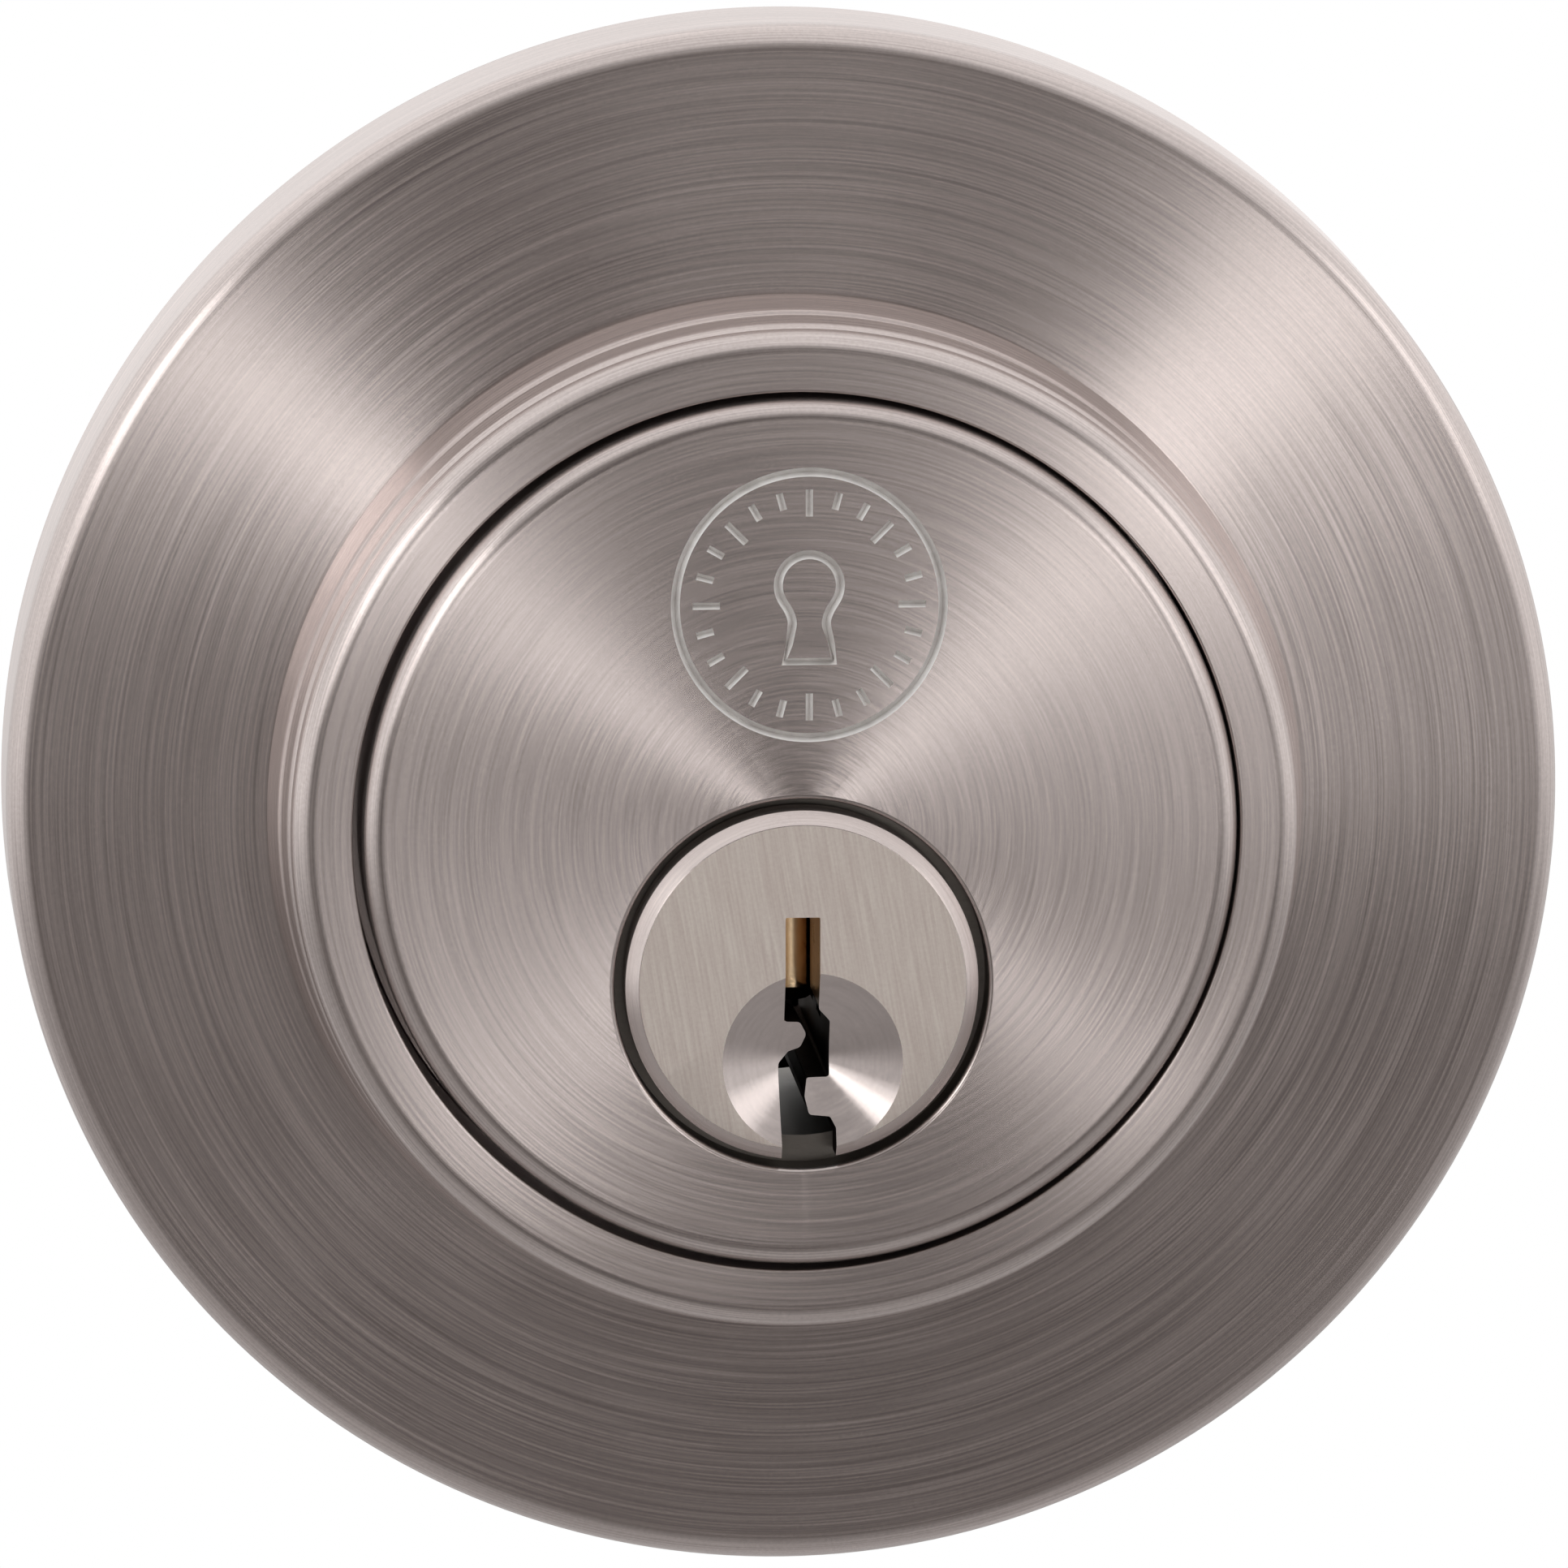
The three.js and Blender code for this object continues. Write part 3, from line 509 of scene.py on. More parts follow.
# Painted light: the pins' brass is lightened and paled well past the brass of other parts, standing in for
# the light that the pin deep in the keyway hardly gets.
pin_brass = mottled_metal("pin_brass", (0.86, 0.62, 0.38), (0.98, 0.76, 0.5), 0.2, 900)
brass = mottled_metal("brass_turned", scaled(BRASS, 0.7), BRASS, 0.34, 600)
zinc_plate = mottled_metal("zinc_plate", (0.47, 0.475, 0.47), (0.66, 0.665, 0.65), 0.3)
screw_metal = mottled_metal("screw_nickel", (0.5, 0.48, 0.45), (0.68, 0.65, 0.61), 0.27, 500)
dark_steel = mottled_metal("hardened_steel", (0.13, 0.13, 0.135), (0.24, 0.24, 0.245), 0.38)
spring_steel = mottled_metal("spring_steel", (0.38, 0.38, 0.37), (0.55, 0.55, 0.54), 0.3)
cast_zinc = mottled_metal("cast_zinc", (0.3, 0.3, 0.31), (0.42, 0.42, 0.43), 0.52, 400, 2500, 0.8)
bolt_metal = brushed_metal("bolt_brushed", STEEL, (1, 0, 0))
bolt_end = brushed_metal("bolt_end_brushed", STEEL, (0, 0, 1), normal=(1, 0, 0))
face_metal = brushed_metal("faceplate_brushed", STEEL, (0, 0, 1), normal=(1, 0, 0))
turn_metal = brushed_metal("thumbturn_brushed", NICKEL, (0, 0, 1))
turn_foot = turned_metal("thumbturn_foot", NICKEL, PLUG_CENTRE)
natural_nylon = nylon("nylon")


# ---------------------------------------------------------------- outside face

def outwards(corners):
    """Corners whose heights are counted outwards from the door, as positions on the y axis."""
    return [(r, -height, *fillet) for r, height, *fillet in corners]


def rose_corners(hole_r, skin=1.8):
    """A dished rose from its rim to its hole and back underneath, as (radius, height, fillet)."""
    top = -ROSE_LOW.y
    edge = top - 1.6
    return [
        (ROSE_R - 2, 0, 0.15),
        (ROSE_R, 0, 0.2),
        (ROSE_R, edge, 1.2),
        (21, top, 0.6),
        (hole_r, top, 0.15),
        (hole_r, top - skin, 0.15),
        (ROSE_R - 3, edge - skin + 0.1, 0.8),
        (ROSE_R - 2, edge - skin - 0.9, 0.4),
    ]


def outer_rose():
    rose = lathe("outer_rose_fine", rounded(outwards(rose_corners(16.5))), [trim], segments=256)
    return settle(rose, ROOT, "brushed_trim", "outer_rose")


def guard_collar():
    back, front, top_r, corner = COLLAR_BACK, COLLAR_H, COLLAR_R - 0.75, 1.0
    bore_r, flange_r, flange_top = 17.95, 16.3, 10.4
    shoulder = front - corner

    def wall(h):
        """The radius of the tapered side at height h."""
        return COLLAR_R + (top_r - COLLAR_R) * (h - back) / (shoulder - back)

    corners = [(flange_r, back, 0.15), (wall(back), back, 0.25)]
    for h in (11.6, 13.6):  # the two grooves
        corners += [(wall(h - 0.45), h - 0.45, 0.5), (wall(h) - 0.2, h, 0.2), (wall(h + 0.35), h + 0.35, 0.3)]
    corners += [(top_r, front, corner), (bore_r, front, 0.12), (bore_r, flange_top, 0.1),
                (flange_r, flange_top, 0.1)]
    collar = lathe("guard_collar_fine", rounded(outwards(corners), 8), [collar_trim], COLLAR_CENTRE, 256)
    return settle(collar, "collar", "brushed_trim", "guard_collar")


def groove(name, path, half=0.18, closed=False):
    """A cutter for a V-shaped line along a path (x, z) in the disc's face, as deep as it is half wide."""
    bm = bmesh.new()
    points = [Vector(p) for p in path]
    count = len(points)
    rings = []
    for i, point in enumerate(points):
        before = points[i - 1] if closed or i else point
        after = points[(i + 1) % count] if closed or i < count - 1 else point
        ahead = (after - before).normalized()
        side = Vector((-ahead.y, ahead.x)) * half
        ring = []
        for shift, rise in ((-2, -1), (2, -1), (0, 1)):
            spot = point + side * shift
            ring.append(bm.verts.new(Vector((spot.x, -DISC_H + half * rise, spot.y)) * MM))
        rings.append(ring)
    for a, b in zip(rings, rings[1:] + rings[:1] if closed else rings[1:]):
        for k in range(3):
            j = (k + 1) % 3
            bm.faces.new((a[k], a[j], b[j], b[k]))
    if not closed:
        bm.faces.new(rings[0])
        bm.faces.new(rings[-1][::-1])
    return new_piece(name, bm, [engraved])


def emblem():
    """Cutters for a plain mark: one ring, a band of short ticks and a keyhole's outline."""
    cx, cz = EMBLEM_CENTRE

    def polar(r, degrees):
        a = math.radians(degrees)
        return cx + r * math.cos(a), cz + r * math.sin(a)

    ring = groove("cut_ring", [polar(5.4, 360 * k / 120) for k in range(120)], closed=True)
    ticks = []
    for k in range(24):
        inner = 3.6 if k % 3 == 0 else 4.0
        ticks.append(groove("cut_tick", [polar(inner, 15 * k), polar(4.7, 15 * k)], 0.14))
    leg, waist, side = Vector((0.7, -0.9)), Vector((0.615, -0.5)), Vector((1.024, 0.083))
    bend = [leg.lerp(waist, k / 6).lerp(waist.lerp(side, k / 6), k / 6) for k in range(6)]
    eye_r, eye_z = 1.25, 0.8
    eye_arc = [math.radians(-35 + 125 * k / 18) for k in range(18)]
    eye = [(eye_r * math.cos(a), eye_z + eye_r * math.sin(a)) for a in eye_arc]
    right = [(1.0, -2.3), *bend, *eye]
    keyhole = [*right, (0, eye_z + eye_r), *[(-u, v) for u, v in right[::-1]]]
    return ring, *ticks, groove("cut_keyhole", [(cx + u, cz + v) for u, v in keyhole], closed=True)


def chamber_cuts(low, high, metal):
    """Cutters for the five pin chambers, from low to high."""
    outline = [(0, low), (CHAMBER_R, low), (CHAMBER_R, high), (0, high)]
    return [lathe("cut_chamber", outline, [metal], (0, y, PLUG_Z), 32, along="Z") for y in PIN_YS]


def cylinder_body():
    top, back = DISC_H, 10.7
    disc = lathe(
        "cylinder_fine",
        rounded(outwards([(0, back), (DISC_R, back, 0.3), (DISC_R, top, 0.9), (0, top)]), 10),
        [disc_trim, bore_metal, engraved, hole_edge],
        segments=256,
    )
    joint = -back - 0.1  # the parts behind the disc start a little inside it
    barrel_r, tower_half, tower_top = 9.4, 4.6, 10.4
    barrel_outline = [(0, joint), (barrel_r, joint), (barrel_r, CYL_END - 0.4), (barrel_r - 0.4, CYL_END),
                      (0, CYL_END)]
    barrel = lathe("barrel", barrel_outline, [bore_metal], PLUG_CENTRE, 96)
    tower_outline = [(-tower_half, PLUG_Z), (tower_half, PLUG_Z), (tower_half, tower_top, 0.6),
                     (-tower_half, tower_top, 0.6)]
    tower = prism("tower", rounded(tower_outline), joint, CYL_END, [bore_metal], 0.3)
    lugs, taps = [], []
    for x in (-LUG_X, LUG_X):
        lug_outline = [(0, joint), (3.1, joint), (3.1, -5.6), (0, -5.6)]
        lugs.append(lathe("lug", lug_outline, [bore_metal], (x, LUG_Z), 48))
        tap_outline = [(0, -back), (1.8, -back), (1.8, -4), (0, -4)]
        taps.append(lathe("cut_tap", tap_outline, [bore_metal], (x, LUG_Z), 32))
    weld(disc, barrel, tower, *lugs)
    hole_r, lip, step, narrow_r = PLUG_R + 0.42, 0.2, -13.9, 6.5
    flare = [(hole_r + lip * (1 - math.sin(a)), -top + lip * (1 - math.cos(a)))
             for a in (math.radians(90 * k / 8) for k in range(9))]
    bore_outline = [(0, -top - 1), (hole_r + lip, -top - 1), *flare, (hole_r, step), (narrow_r, step),
                    (narrow_r, CYL_END + 1), (0, CYL_END + 1)]
    plug_bore = lathe("cut_bore", bore_outline, [hole_edge, bore_metal], PLUG_CENTRE, 160,
                      lambda index: 0 if 1 <= index <= 9 else 1)
    seat_outline = [(-3.1, 9.5), (3.1, 9.5), (3.1, 12), (-3.1, 12)]
    seat = prism("cut_seat", seat_outline, -back + 0.1, CYL_END + 1, [bore_metal])
    carve(disc, plug_bore, seat, *chamber_cuts(4, 17.5, bore_metal), *taps, *emblem())
    return settle(disc, ROOT, "brushed_trim", "cylinder_body")


def keyway_outlines():
    """The keyway's section about the plug's axis: its straight upper slot, and the warded part below."""
    slot = rounded([(-0.7, 2.85, 0.06), (-0.7, -1.5), (0.7, -1.5), (0.7, 2.85, 0.06)], 5)
    left = [
        (-0.7, -1.3), (-0.7, -1.55, 0.15), (-0.05, -1.6, 0.2), (0.24, -2.15, 0.35), (0, -2.72, 0.25),
        (-0.5, -2.85, 0.15), (-0.92, -3.3, 0.3), (-0.92, -3.8, 0.3), (-0.8, -8),
    ]
    right = [
        (1.37, -8), (1.37, -5.85, 0.15), (1.15, -5.42, 0.15), (0.3, -5.35, 0.15), (0.14, -4.65, 0.4),
        (0.25, -3.95, 0.1), (1.16, -3.9, 0.15), (1.16, -1.55, 0.2), (0.72, -1.05, 0.1), (0.7, -0.9),
    ]
    wards = rounded(left + right, 5)
    # The upper slot keeps brass walls; the warded part below carries the painted shade metal.
    return (slot, slot_brass), (wards, keyway_shade_metal)


def plug():
    face, r, chamfer = -PLUG_H, PLUG_R, 0.52
    shoulder, narrow_r, nose_r, nose_end = -14.2, 6.4, 5, 11.2
    corners = [
        (0, face), (r - chamfer, face, 0.06), (r, face + chamfer, 0.06), (r, shoulder, 0.05),
        (narrow_r, shoulder), (narrow_r, CYL_END, 0.1), (nose_r, CYL_END), (nose_r, nose_end, 0.1),
        (0, nose_end),
    ]
    metals = [plug_face, plug_turned, keyway_shade_metal, dimple_turned, slot_brass]
    body = lathe("plug_fine", rounded(corners, 4), metals, PLUG_CENTRE, 192,
                 lambda index: 0 if index == 0 else 1)
    dimple_r, dimple_depth = 3.65, 1.75
    cone = [(0, face - 1), (dimple_r, face - 1), (dimple_r, face), (1.8, face + 0.88),
            (0, face + dimple_depth)]
    dimple = lathe("cut_dimple", cone, [dimple_turned], DIMPLE_CENTRE, 160)
    slots = [prism("cut_keyway", [(u, v + PLUG_Z) for u, v in shape], face - 2, 8, [metal])
             for shape, metal in keyway_outlines()]
    # The plug's pin chambers carry the keyway's painted shade metal too.
    carve(body, dimple, *slots, *chamber_cuts(-2.3, 8, keyway_shade_metal))
    lugs = []
    for start in (120, 300):
        arc = [math.radians(start + 30 * k / 8) for k in range(9)]
        shape = [(4.8 * math.cos(a), 4.8 * math.sin(a)) for a in arc]
        shape += [(3.4 * math.cos(a), 3.4 * math.sin(a)) for a in reversed(arc)]
        shape = [(u, v + PLUG_Z) for u, v in shape]
        lugs.append(prism("lug", shape, nose_end - 0.1, PLUG_END, [plug_turned], 0.1))
    weld(body, *lugs)
    return settle(body, "keyed_plug", "plug_nickel", "plug", angle=20)


def coil(y, low, high, wire, turns=5.5, radius=1.05, count=150):
    """The path of a compression spring that stands between heights low and high, with closed end turns."""
    path = []
    for i in range(count + 1):
        t = i / count
        a = 2 * math.pi * turns * t
        lift = min(1.0, max(0.0, (t * turns - 0.75) / (turns - 1.5)))
        z = low + wire + (high - low - 2 * wire) * (0.06 * t + 0.94 * lift)
        path.append((radius * math.cos(a), y + radius * math.sin(a), z))
    return path


def pins():
    wire = 0.17
    for k, y in enumerate(PIN_YS, 1):
        low, high = box_mm(f"key_pin_{k}")
        outline = [(0, low.z), (PIN_R / 2, low.z, 0.25), (PIN_R, low.z + 0.6, 0.1), (PIN_R, high.z, 0.12),
                   (0, high.z)]
        pin = lathe(f"key_pin_{k}_fine", rounded(outline, 4), [pin_brass], (0, y, 0), 40, along="Z")
        settle(pin, f"key_pin_{k}", "brass", f"key_pin_{k}")
        low, high = box_mm(f"driver_pin_{k}")
        outline = [(0, low.z), (PIN_R, low.z, 0.15), (PIN_R, high.z, 0.15), (0, high.z)]
        pin = lathe(f"driver_pin_{k}_fine", rounded(outline, 4), [pin_brass], (0, y, 0), 40, along="Z")
        settle(pin, f"driver_pin_{k}", "brass", f"driver_pin_{k}")
        low, high = box_mm(f"pin_spring_{k}")
        spring = sweep(f"pin_spring_{k}_fine", coil(y, low.z, high.z, wire), wire, [spring_steel])
        smooth(spring)
        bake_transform(spring)
        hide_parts(f"pin_spring_{k}")


# ---------------------------------------------------------------- screws and posts

def dense(outline, low, high, step):
    """An outline with points every step between low and high, for a thread to be cut there."""
    points = []
    for (r0, y0), (r1, y1) in zip(outline, outline[1:]):
        points.append((r0, y0))
        if y0 >= low - 0.01 and y1 <= high + 0.01 and y1 - y0 > step:
            count = int((y1 - y0) / step)
            points += [(r0 + (r1 - r0) * k / count, y0 + (y1 - y0) * k / count) for k in range(1, count)]
    return points + [outline[-1]]


def cross_recess(centre, head, depth, half, along):
    """A cutter for a cross recess that narrows with depth. half is half the cross's width."""
    arm = 0.42
    corners = [(-arm, half), (-arm, arm, 0.12), (-half, arm),
               (-half, -arm), (-arm, -arm, 0.12), (-arm, -half)]
    cross = rounded(corners + [(-u, -v, *fillet) for u, v, *fillet in corners], 3)
    turn, offset = AXES[along], Vector(centre)
    bm = bmesh.new()
    rings = [[bm.verts.new((turn @ Vector((u * size, y, v * size)) + offset) * MM) for u, v in cross]
             for y, size in ((head - depth, 0.45), (head + 0.05, 1.0), (head + 1, 1.05))]
    for a, b in zip(rings, rings[1:]):
        for k in range(len(a)):
            j = (k + 1) % len(a)
            bm.faces.new((a[k], a[j], b[j], b[k]))
    bm.faces.new(rings[0][::-1])
    bm.faces.new(rings[-1])
    return new_piece("cut_cross", bm, [screw_metal])


def screw(node, outline, thread, centre, along, recess):
    """A screw with a helical thread: thread is (low, high, pitch, height), recess is (depth, half width)."""
    low, high, pitch, height = thread

    def relief(y, a):
        if not low <= y <= high:
            return 0
        fade = min(1, (y - low) / pitch, (high - y) / pitch)
        phase = (y / pitch - a / (2 * math.pi)) % 1
        return height * fade * (1 - abs(2 * phase - 1))

    body = lathe(node + "_fine", dense(outline, low, high, pitch / 8), [screw_metal], centre, 36, along=along,
                 relief=relief)
    carve(body, cross_recess(centre, outline[-1][1], *recess, along))
    return settle(body, ROOT, "screw_steel", node, angle=40)


def with_fillets(outline, radius):
    """The same outline with every corner off the axis rounded."""
    return [(r, y, radius if r else 0) for r, y in outline]


def screws():
    """The screws and posts. Each outline is (radius, position), from the tip to the head."""
    for side, x in (("left", -SCREW_X), ("right", SCREW_X)):
        shank = [(0, 5), (1.4, 5), (1.72, 5.5), (1.72, 17.3), (2.15, 18), (2.15, DOOR + 6.2)]
        head = [(4.1, DOOR + 8.2), (4.0, DOOR + 8.45), (3.2, DOOR + 8.8), (1.7, DOOR + 9), (0, DOOR + 9)]
        screw("mounting_screw_" + side, shank + head, (5.1, 17.3, 0.8, 0.4), (x, 0, PLUG_Z), "Y", (1.9, 2.1))
        outline = [(0, -5.6), (2.6, -5.6), (2.6, -3.1), (3.6, -3.1), (3.6, 13), (2.5, 13), (2.5, 1), (0, 1)]
        outline = rounded(with_fillets(outline, 0.15), 3)
        post = lathe("post_fine_" + side, outline, [zinc_plate], (x, PLUG_Z), 64)
        settle(post, ROOT, "plated_steel", "post_" + side)
    for side, x in (("left", -LUG_X), ("right", LUG_X)):
        shank = [(0, -10.2), (1.0, -10.2), (1.22, -10), (1.22, -3.1)]
        head = [(2.7, -3.1), (2.7, -2.1), (2.45, -1.55), (1.6, -1.3), (0, -1.3)]
        screw("cylinder_screw_" + side, shank + head, (-10, -3.1, 0.7, 0.28), (x, 0, LUG_Z), "Y", (1.2, 1.7))
    for side, z in (("upper", FACE_SCREW_Z), ("lower", -FACE_SCREW_Z)):
        shank = [(0, 41.5), (0.35, 42.2), (1.25, 45), (1.4, 54.8), (1.9, 56.2), (1.95, 58.4)]
        head = [(3.85, 60.25), (3.4, 60.3), (0, 60.3)]
        screw("face_screw_" + side, shank + head, (42.2, 54.8, 1.5, 0.55), (0, BOLT_Y, z), "X", (1.3, 2.0))


# ---------------------------------------------------------------- bolt unit

def flatted(r, half):
    """A circle with two flats, at half to each side of its middle."""
    a0 = math.asin(half / r)
    right = [(r * math.sin(a), r * math.cos(a)) for a in (a0 * (1 - 2 * k / 40) for k in range(41))]
    return right + [(-u, -v) for u, v in right]


def plate_outline(half_width, half_height, radius):
    """A rectangle with rounded corners."""
    return rounded([(half_width, half_height, radius), (-half_width, half_height, radius),
                    (-half_width, -half_height, radius), (half_width, -half_height, radius)], 20)


def round_cut(centre, r, low, high, metal, along="X", mouth=None):
    """A cutter for a round hole. A mouth (start, radius, end) widens it to that radius from start to end."""
    outline = [(0, low), (r, low), (r, high), (0, high)]
    if mouth:
        start, mouth_r, end = mouth
        outline = [(0, low), (r, low), (r, start), (mouth_r, end), (mouth_r, high), (0, high)]
    return lathe("cut_hole", outline, [metal], centre, 48, along=along)


def bolt_unit():
    metals = [bolt_metal, bolt_end, zinc_plate]
    bolt = prism("bolt_fine", flatted(9.5, 6.8), 24, 60.4, metals, 0.8, flat_x, cap=1)
    slot_outline = [(-4.5, 0.1), (4.5, 0.1), (4.5, 12), (-4.5, 12)]
    slot = prism("cut_slot", slot_outline, 22, 32, [zinc_plate], place=flat_x)
    carve(bolt, slot, round_cut((0, BOLT_Y, -4), 2.6, 22, 57.4, zinc_plate),
          round_cut((27.5, BOLT_Y, 4.5), 1.7, -12, 12, zinc_plate, "Y"))
    settle(bolt, "bolt_train", "brushed_bolt", "bolt")

    screw_axes = [(0, BOLT_Y, z) for z in (-FACE_SCREW_Z, FACE_SCREW_Z)]
    face = prism("faceplate_fine", plate_outline(12.7, 28.6, 6.35), 58.4, 60.4, [face_metal], 0.3, flat_x)
    sinks = [round_cut(axis, 2.3, 57, 62, face_metal, mouth=(58.5, 4.3, 60.41)) for axis in screw_axes]
    carve(face, prism("cut_face", flatted(9.9, 7.2), 57, 62, [face_metal], place=flat_x), *sinks)
    settle(face, ROOT, "brushed_bolt", "faceplate")

    back = prism("backplate_fine", plate_outline(12.2, 28.1, 6), 57.1, 58.1, [zinc_plate], 0.12, flat_x)
    carve(back, round_cut((0, BOLT_Y, 0), 9.9, 56, 59, zinc_plate),
          *[round_cut(axis, 2.6, 56, 59, zinc_plate) for axis in screw_axes])
    settle(back, ROOT, "plated_steel", "backplate")

    bore_r, tube_r, start, end = 9.9, 11.1, 21.6, 56.8
    corners = [(bore_r, start, 0.3), (tube_r, start, 0.4)]
    for groove_x in (24.9, 53.1):
        corners += [(tube_r, groove_x - 0.5, 0.3), (tube_r - 0.25, groove_x, 0.3),
                    (tube_r, groove_x + 0.5, 0.3)]
    corners += [(tube_r, end, 0.2), (bore_r, end, 0.2)]
    tube = lathe("bolt_tube_fine", rounded(corners, 4), [zinc_plate], (0, BOLT_Y, 0), 128, along="X")
    settle(tube, ROOT, "plated_steel", "bolt_tube")


# ---------------------------------------------------------------- room side and plates

LONG_SCREW_AXES = [(x, 0, PLUG_Z) for x in (-SCREW_X, SCREW_X)]


def inner_rose():
    """The outer rose's shape without its hole, on the inside face, with two bosses for the long screws."""
    *outside, hole_top, hole_under, under, inside = [(r, DOOR + h, *rest) for r, h, *rest in rose_corners(0)]
    top, low = hole_top[1], DOOR - 1
    corners = [(0, hole_under[1]), under, inside, *outside, (0, top)]
    rose = lathe("inner_rose_fine", rounded(corners), [trim], segments=256)
    boss_outline = [(0, DOOR + 1.9), (4.6, DOOR + 1.9), (4.6, top - 1), (0, top - 1)]
    weld(rose, *[lathe("boss", boss_outline, [trim], axis, 64) for axis in LONG_SCREW_AXES])
    sink = (top - 2.3, 4.45, top - 0.2)
    carve(rose, round_cut((0, 0, PLUG_Z), 8.6, low, top + 1, trim, "Y"),
          *[round_cut(axis, 2.5, low, top + 1, trim, "Y", sink) for axis in LONG_SCREW_AXES])
    settle(rose, ROOT, "brushed_trim", "inner_rose")


def plates():
    corners = [(0, DOOR), (28.6, DOOR, 0.2), (28.6, DOOR + 1.6, 0.4), (0, DOOR + 1.6)]
    plate = lathe("inner_plate_fine", rounded(corners, 4), [zinc_plate], segments=160)
    low, high = DOOR - 1, DOOR + 3
    carve(plate, round_cut((0, 0, PLUG_Z), 8.3, low, high, zinc_plate, "Y"),
          *[round_cut(axis, 2.6, low, high, zinc_plate, "Y") for axis in LONG_SCREW_AXES])
    settle(plate, ROOT, "plated_steel", "inner_plate")

    corners = [(0, -5.3), (25.5, -5.3, 0.4), (25.5, -3.4, 0.2), (0, -3.4)]
    plate = lathe("cylinder_plate_fine", rounded(corners, 4), [zinc_plate], segments=160)
    low, high = -8, -2
    window_outline = rounded([(-5, PLUG_Z), (5, PLUG_Z), (5, 10.7, 0.8), (-5, 10.7, 0.8)])
    window = prism("cut_window", window_outline, low, high, [zinc_plate])
    carve(plate, window, round_cut((0, 0, PLUG_Z), 9.8, low, high, zinc_plate, "Y"),
          *[round_cut((x, 0, LUG_Z), 1.9, low, high, zinc_plate, "Y") for x in (-LUG_X, LUG_X)],
          *[round_cut(axis, 2.9, low, high, zinc_plate, "Y") for axis in LONG_SCREW_AXES])
    settle(plate, ROOT, "plated_steel", "cylinder_plate")


def thumbturn():
    end_r, reach, swell, crown_r = 5.2, 15.5, 1.4, 2.6
    side = [(end_r + swell * math.cos(math.pi * z / (2 * reach)), z)
            for z in (-reach + 2 * reach * k / 24 for k in range(25))]
    cap = [(end_r * math.cos(a), reach + end_r * math.sin(a))
           for a in (math.radians(180 * k / 24) for k in range(1, 24))]
    half = side + cap
    outline = [(u, v + PLUG_Z) for u, v in half + [(-u, -v) for u, v in half]]
    crown = [(DOOR + 26 - crown_r * (1 - math.sin(a)), crown_r * (1 - math.cos(a)))
             for a in (math.radians(90 * k / 10) for k in range(11))]
    flare = [(11.4, 1.5), (12, 1.0), (13.2, 0.6), (16, 0.25), (20, 0.05)]
    layers = [(DOOR + height, depth) for height, depth in flare] + crown
    foot = [(0, 8.8), (9.4, 8.8, 0.2), (9.8, 9.2, 0.2), (9.8, 10.6, 0.6), (8.6, 11.8, 0.6), (0, 11.8)]
    foot = rounded([(r, DOOR + h, *rest) for r, h, *rest in foot], 5)
    turn = lathe("thumbturn_fine", foot, [turn_foot, turn_metal], PLUG_CENTRE, 128)
    weld(turn, prism("paddle", outline, 0, 0, [turn_metal], layers=layers))
    carve(turn, round_cut((0, 0, PLUG_Z), 3.8, DOOR + 7, DOOR + 15.3, turn_foot, "Y"))
    settle(turn, "turn_train", "brushed_trim", "thumbturn")


# ---------------------------------------------------------------- carried-over CAD nodes

def keep(names, material, edge=0.12):
    """A CAD node that stays: welded, with its sharp edges eased and a better material."""
    for name in names:
        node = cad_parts[name]
        node.data.materials.clear()
        node.data.materials.append(material)
        for face in node.data.polygons:
            face.use_smooth = True
        join = node.modifiers.new("join", "WELD")
        join.merge_threshold = 1e-6
        bevel = node.modifiers.new("edge", "BEVEL")
        bevel.width = edge * MM
        bevel.segments = 2
        bevel.limit_method = "ANGLE"
        bevel.angle_limit = math.radians(40)
        bevel.use_clamp_overlap = True
        node.modifiers.new("normals", "WEIGHTED_NORMAL")


outer_rose()
guard_collar()
cylinder_body()
plug()
pins()
screws()
bolt_unit()
inner_rose()
plates()
thumbturn()

keep(["tailpiece", "bolt_tail", "tail_pin", "case_end_ring", "case_cheek_outside", "case_cheek_inside",
      "case_rivet_front", "case_rivet_rear", "crank_pin"], zinc_plate)
keep(["plug_cap", "spring_cover"], brass)
keep(["hardened_insert"], dark_steel)
keep(["crank", "turn_spindle"], cast_zinc)
keep(["wave_washer", "spindle_clip"], spring_steel)
keep(["turn_bushing"], natural_nylon)


# ---------------------------------------------------------------- studio

CAMERA_AZIMUTH, CAMERA_ELEVATION, CAMERA_DISTANCE = math.radians(-4.39), math.radians(9.49), 0.7
TO_CAMERA = Vector((
    math.sin(CAMERA_AZIMUTH) * math.cos(CAMERA_ELEVATION),
    -math.cos(CAMERA_AZIMUTH) * math.cos(CAMERA_ELEVATION),
    math.sin(CAMERA_ELEVATION),
))
AIM = Vector((-0.13, -8.0, 0.83)) * MM
DIM_FRONT = (0.082, 0.07, 0.0655)
VIEW_END = CAMERA_DISTANCE + 0.0195  # the photograph's view ends at the door's outside face
FLOOR_Z = -0.085
LIGHT_DISTANCE = 1.0


def reflected(tilt, clock):
    """The direction that the camera sees in a facet tilted by tilt degrees from the flat towards clock."""
    t, c = math.radians(tilt), math.radians(clock)
    facet = Vector((math.sin(t) * math.cos(c), -math.cos(t), math.sin(t) * math.sin(c)))
    return 2 * facet.dot(TO_CAMERA) * facet - TO_CAMERA


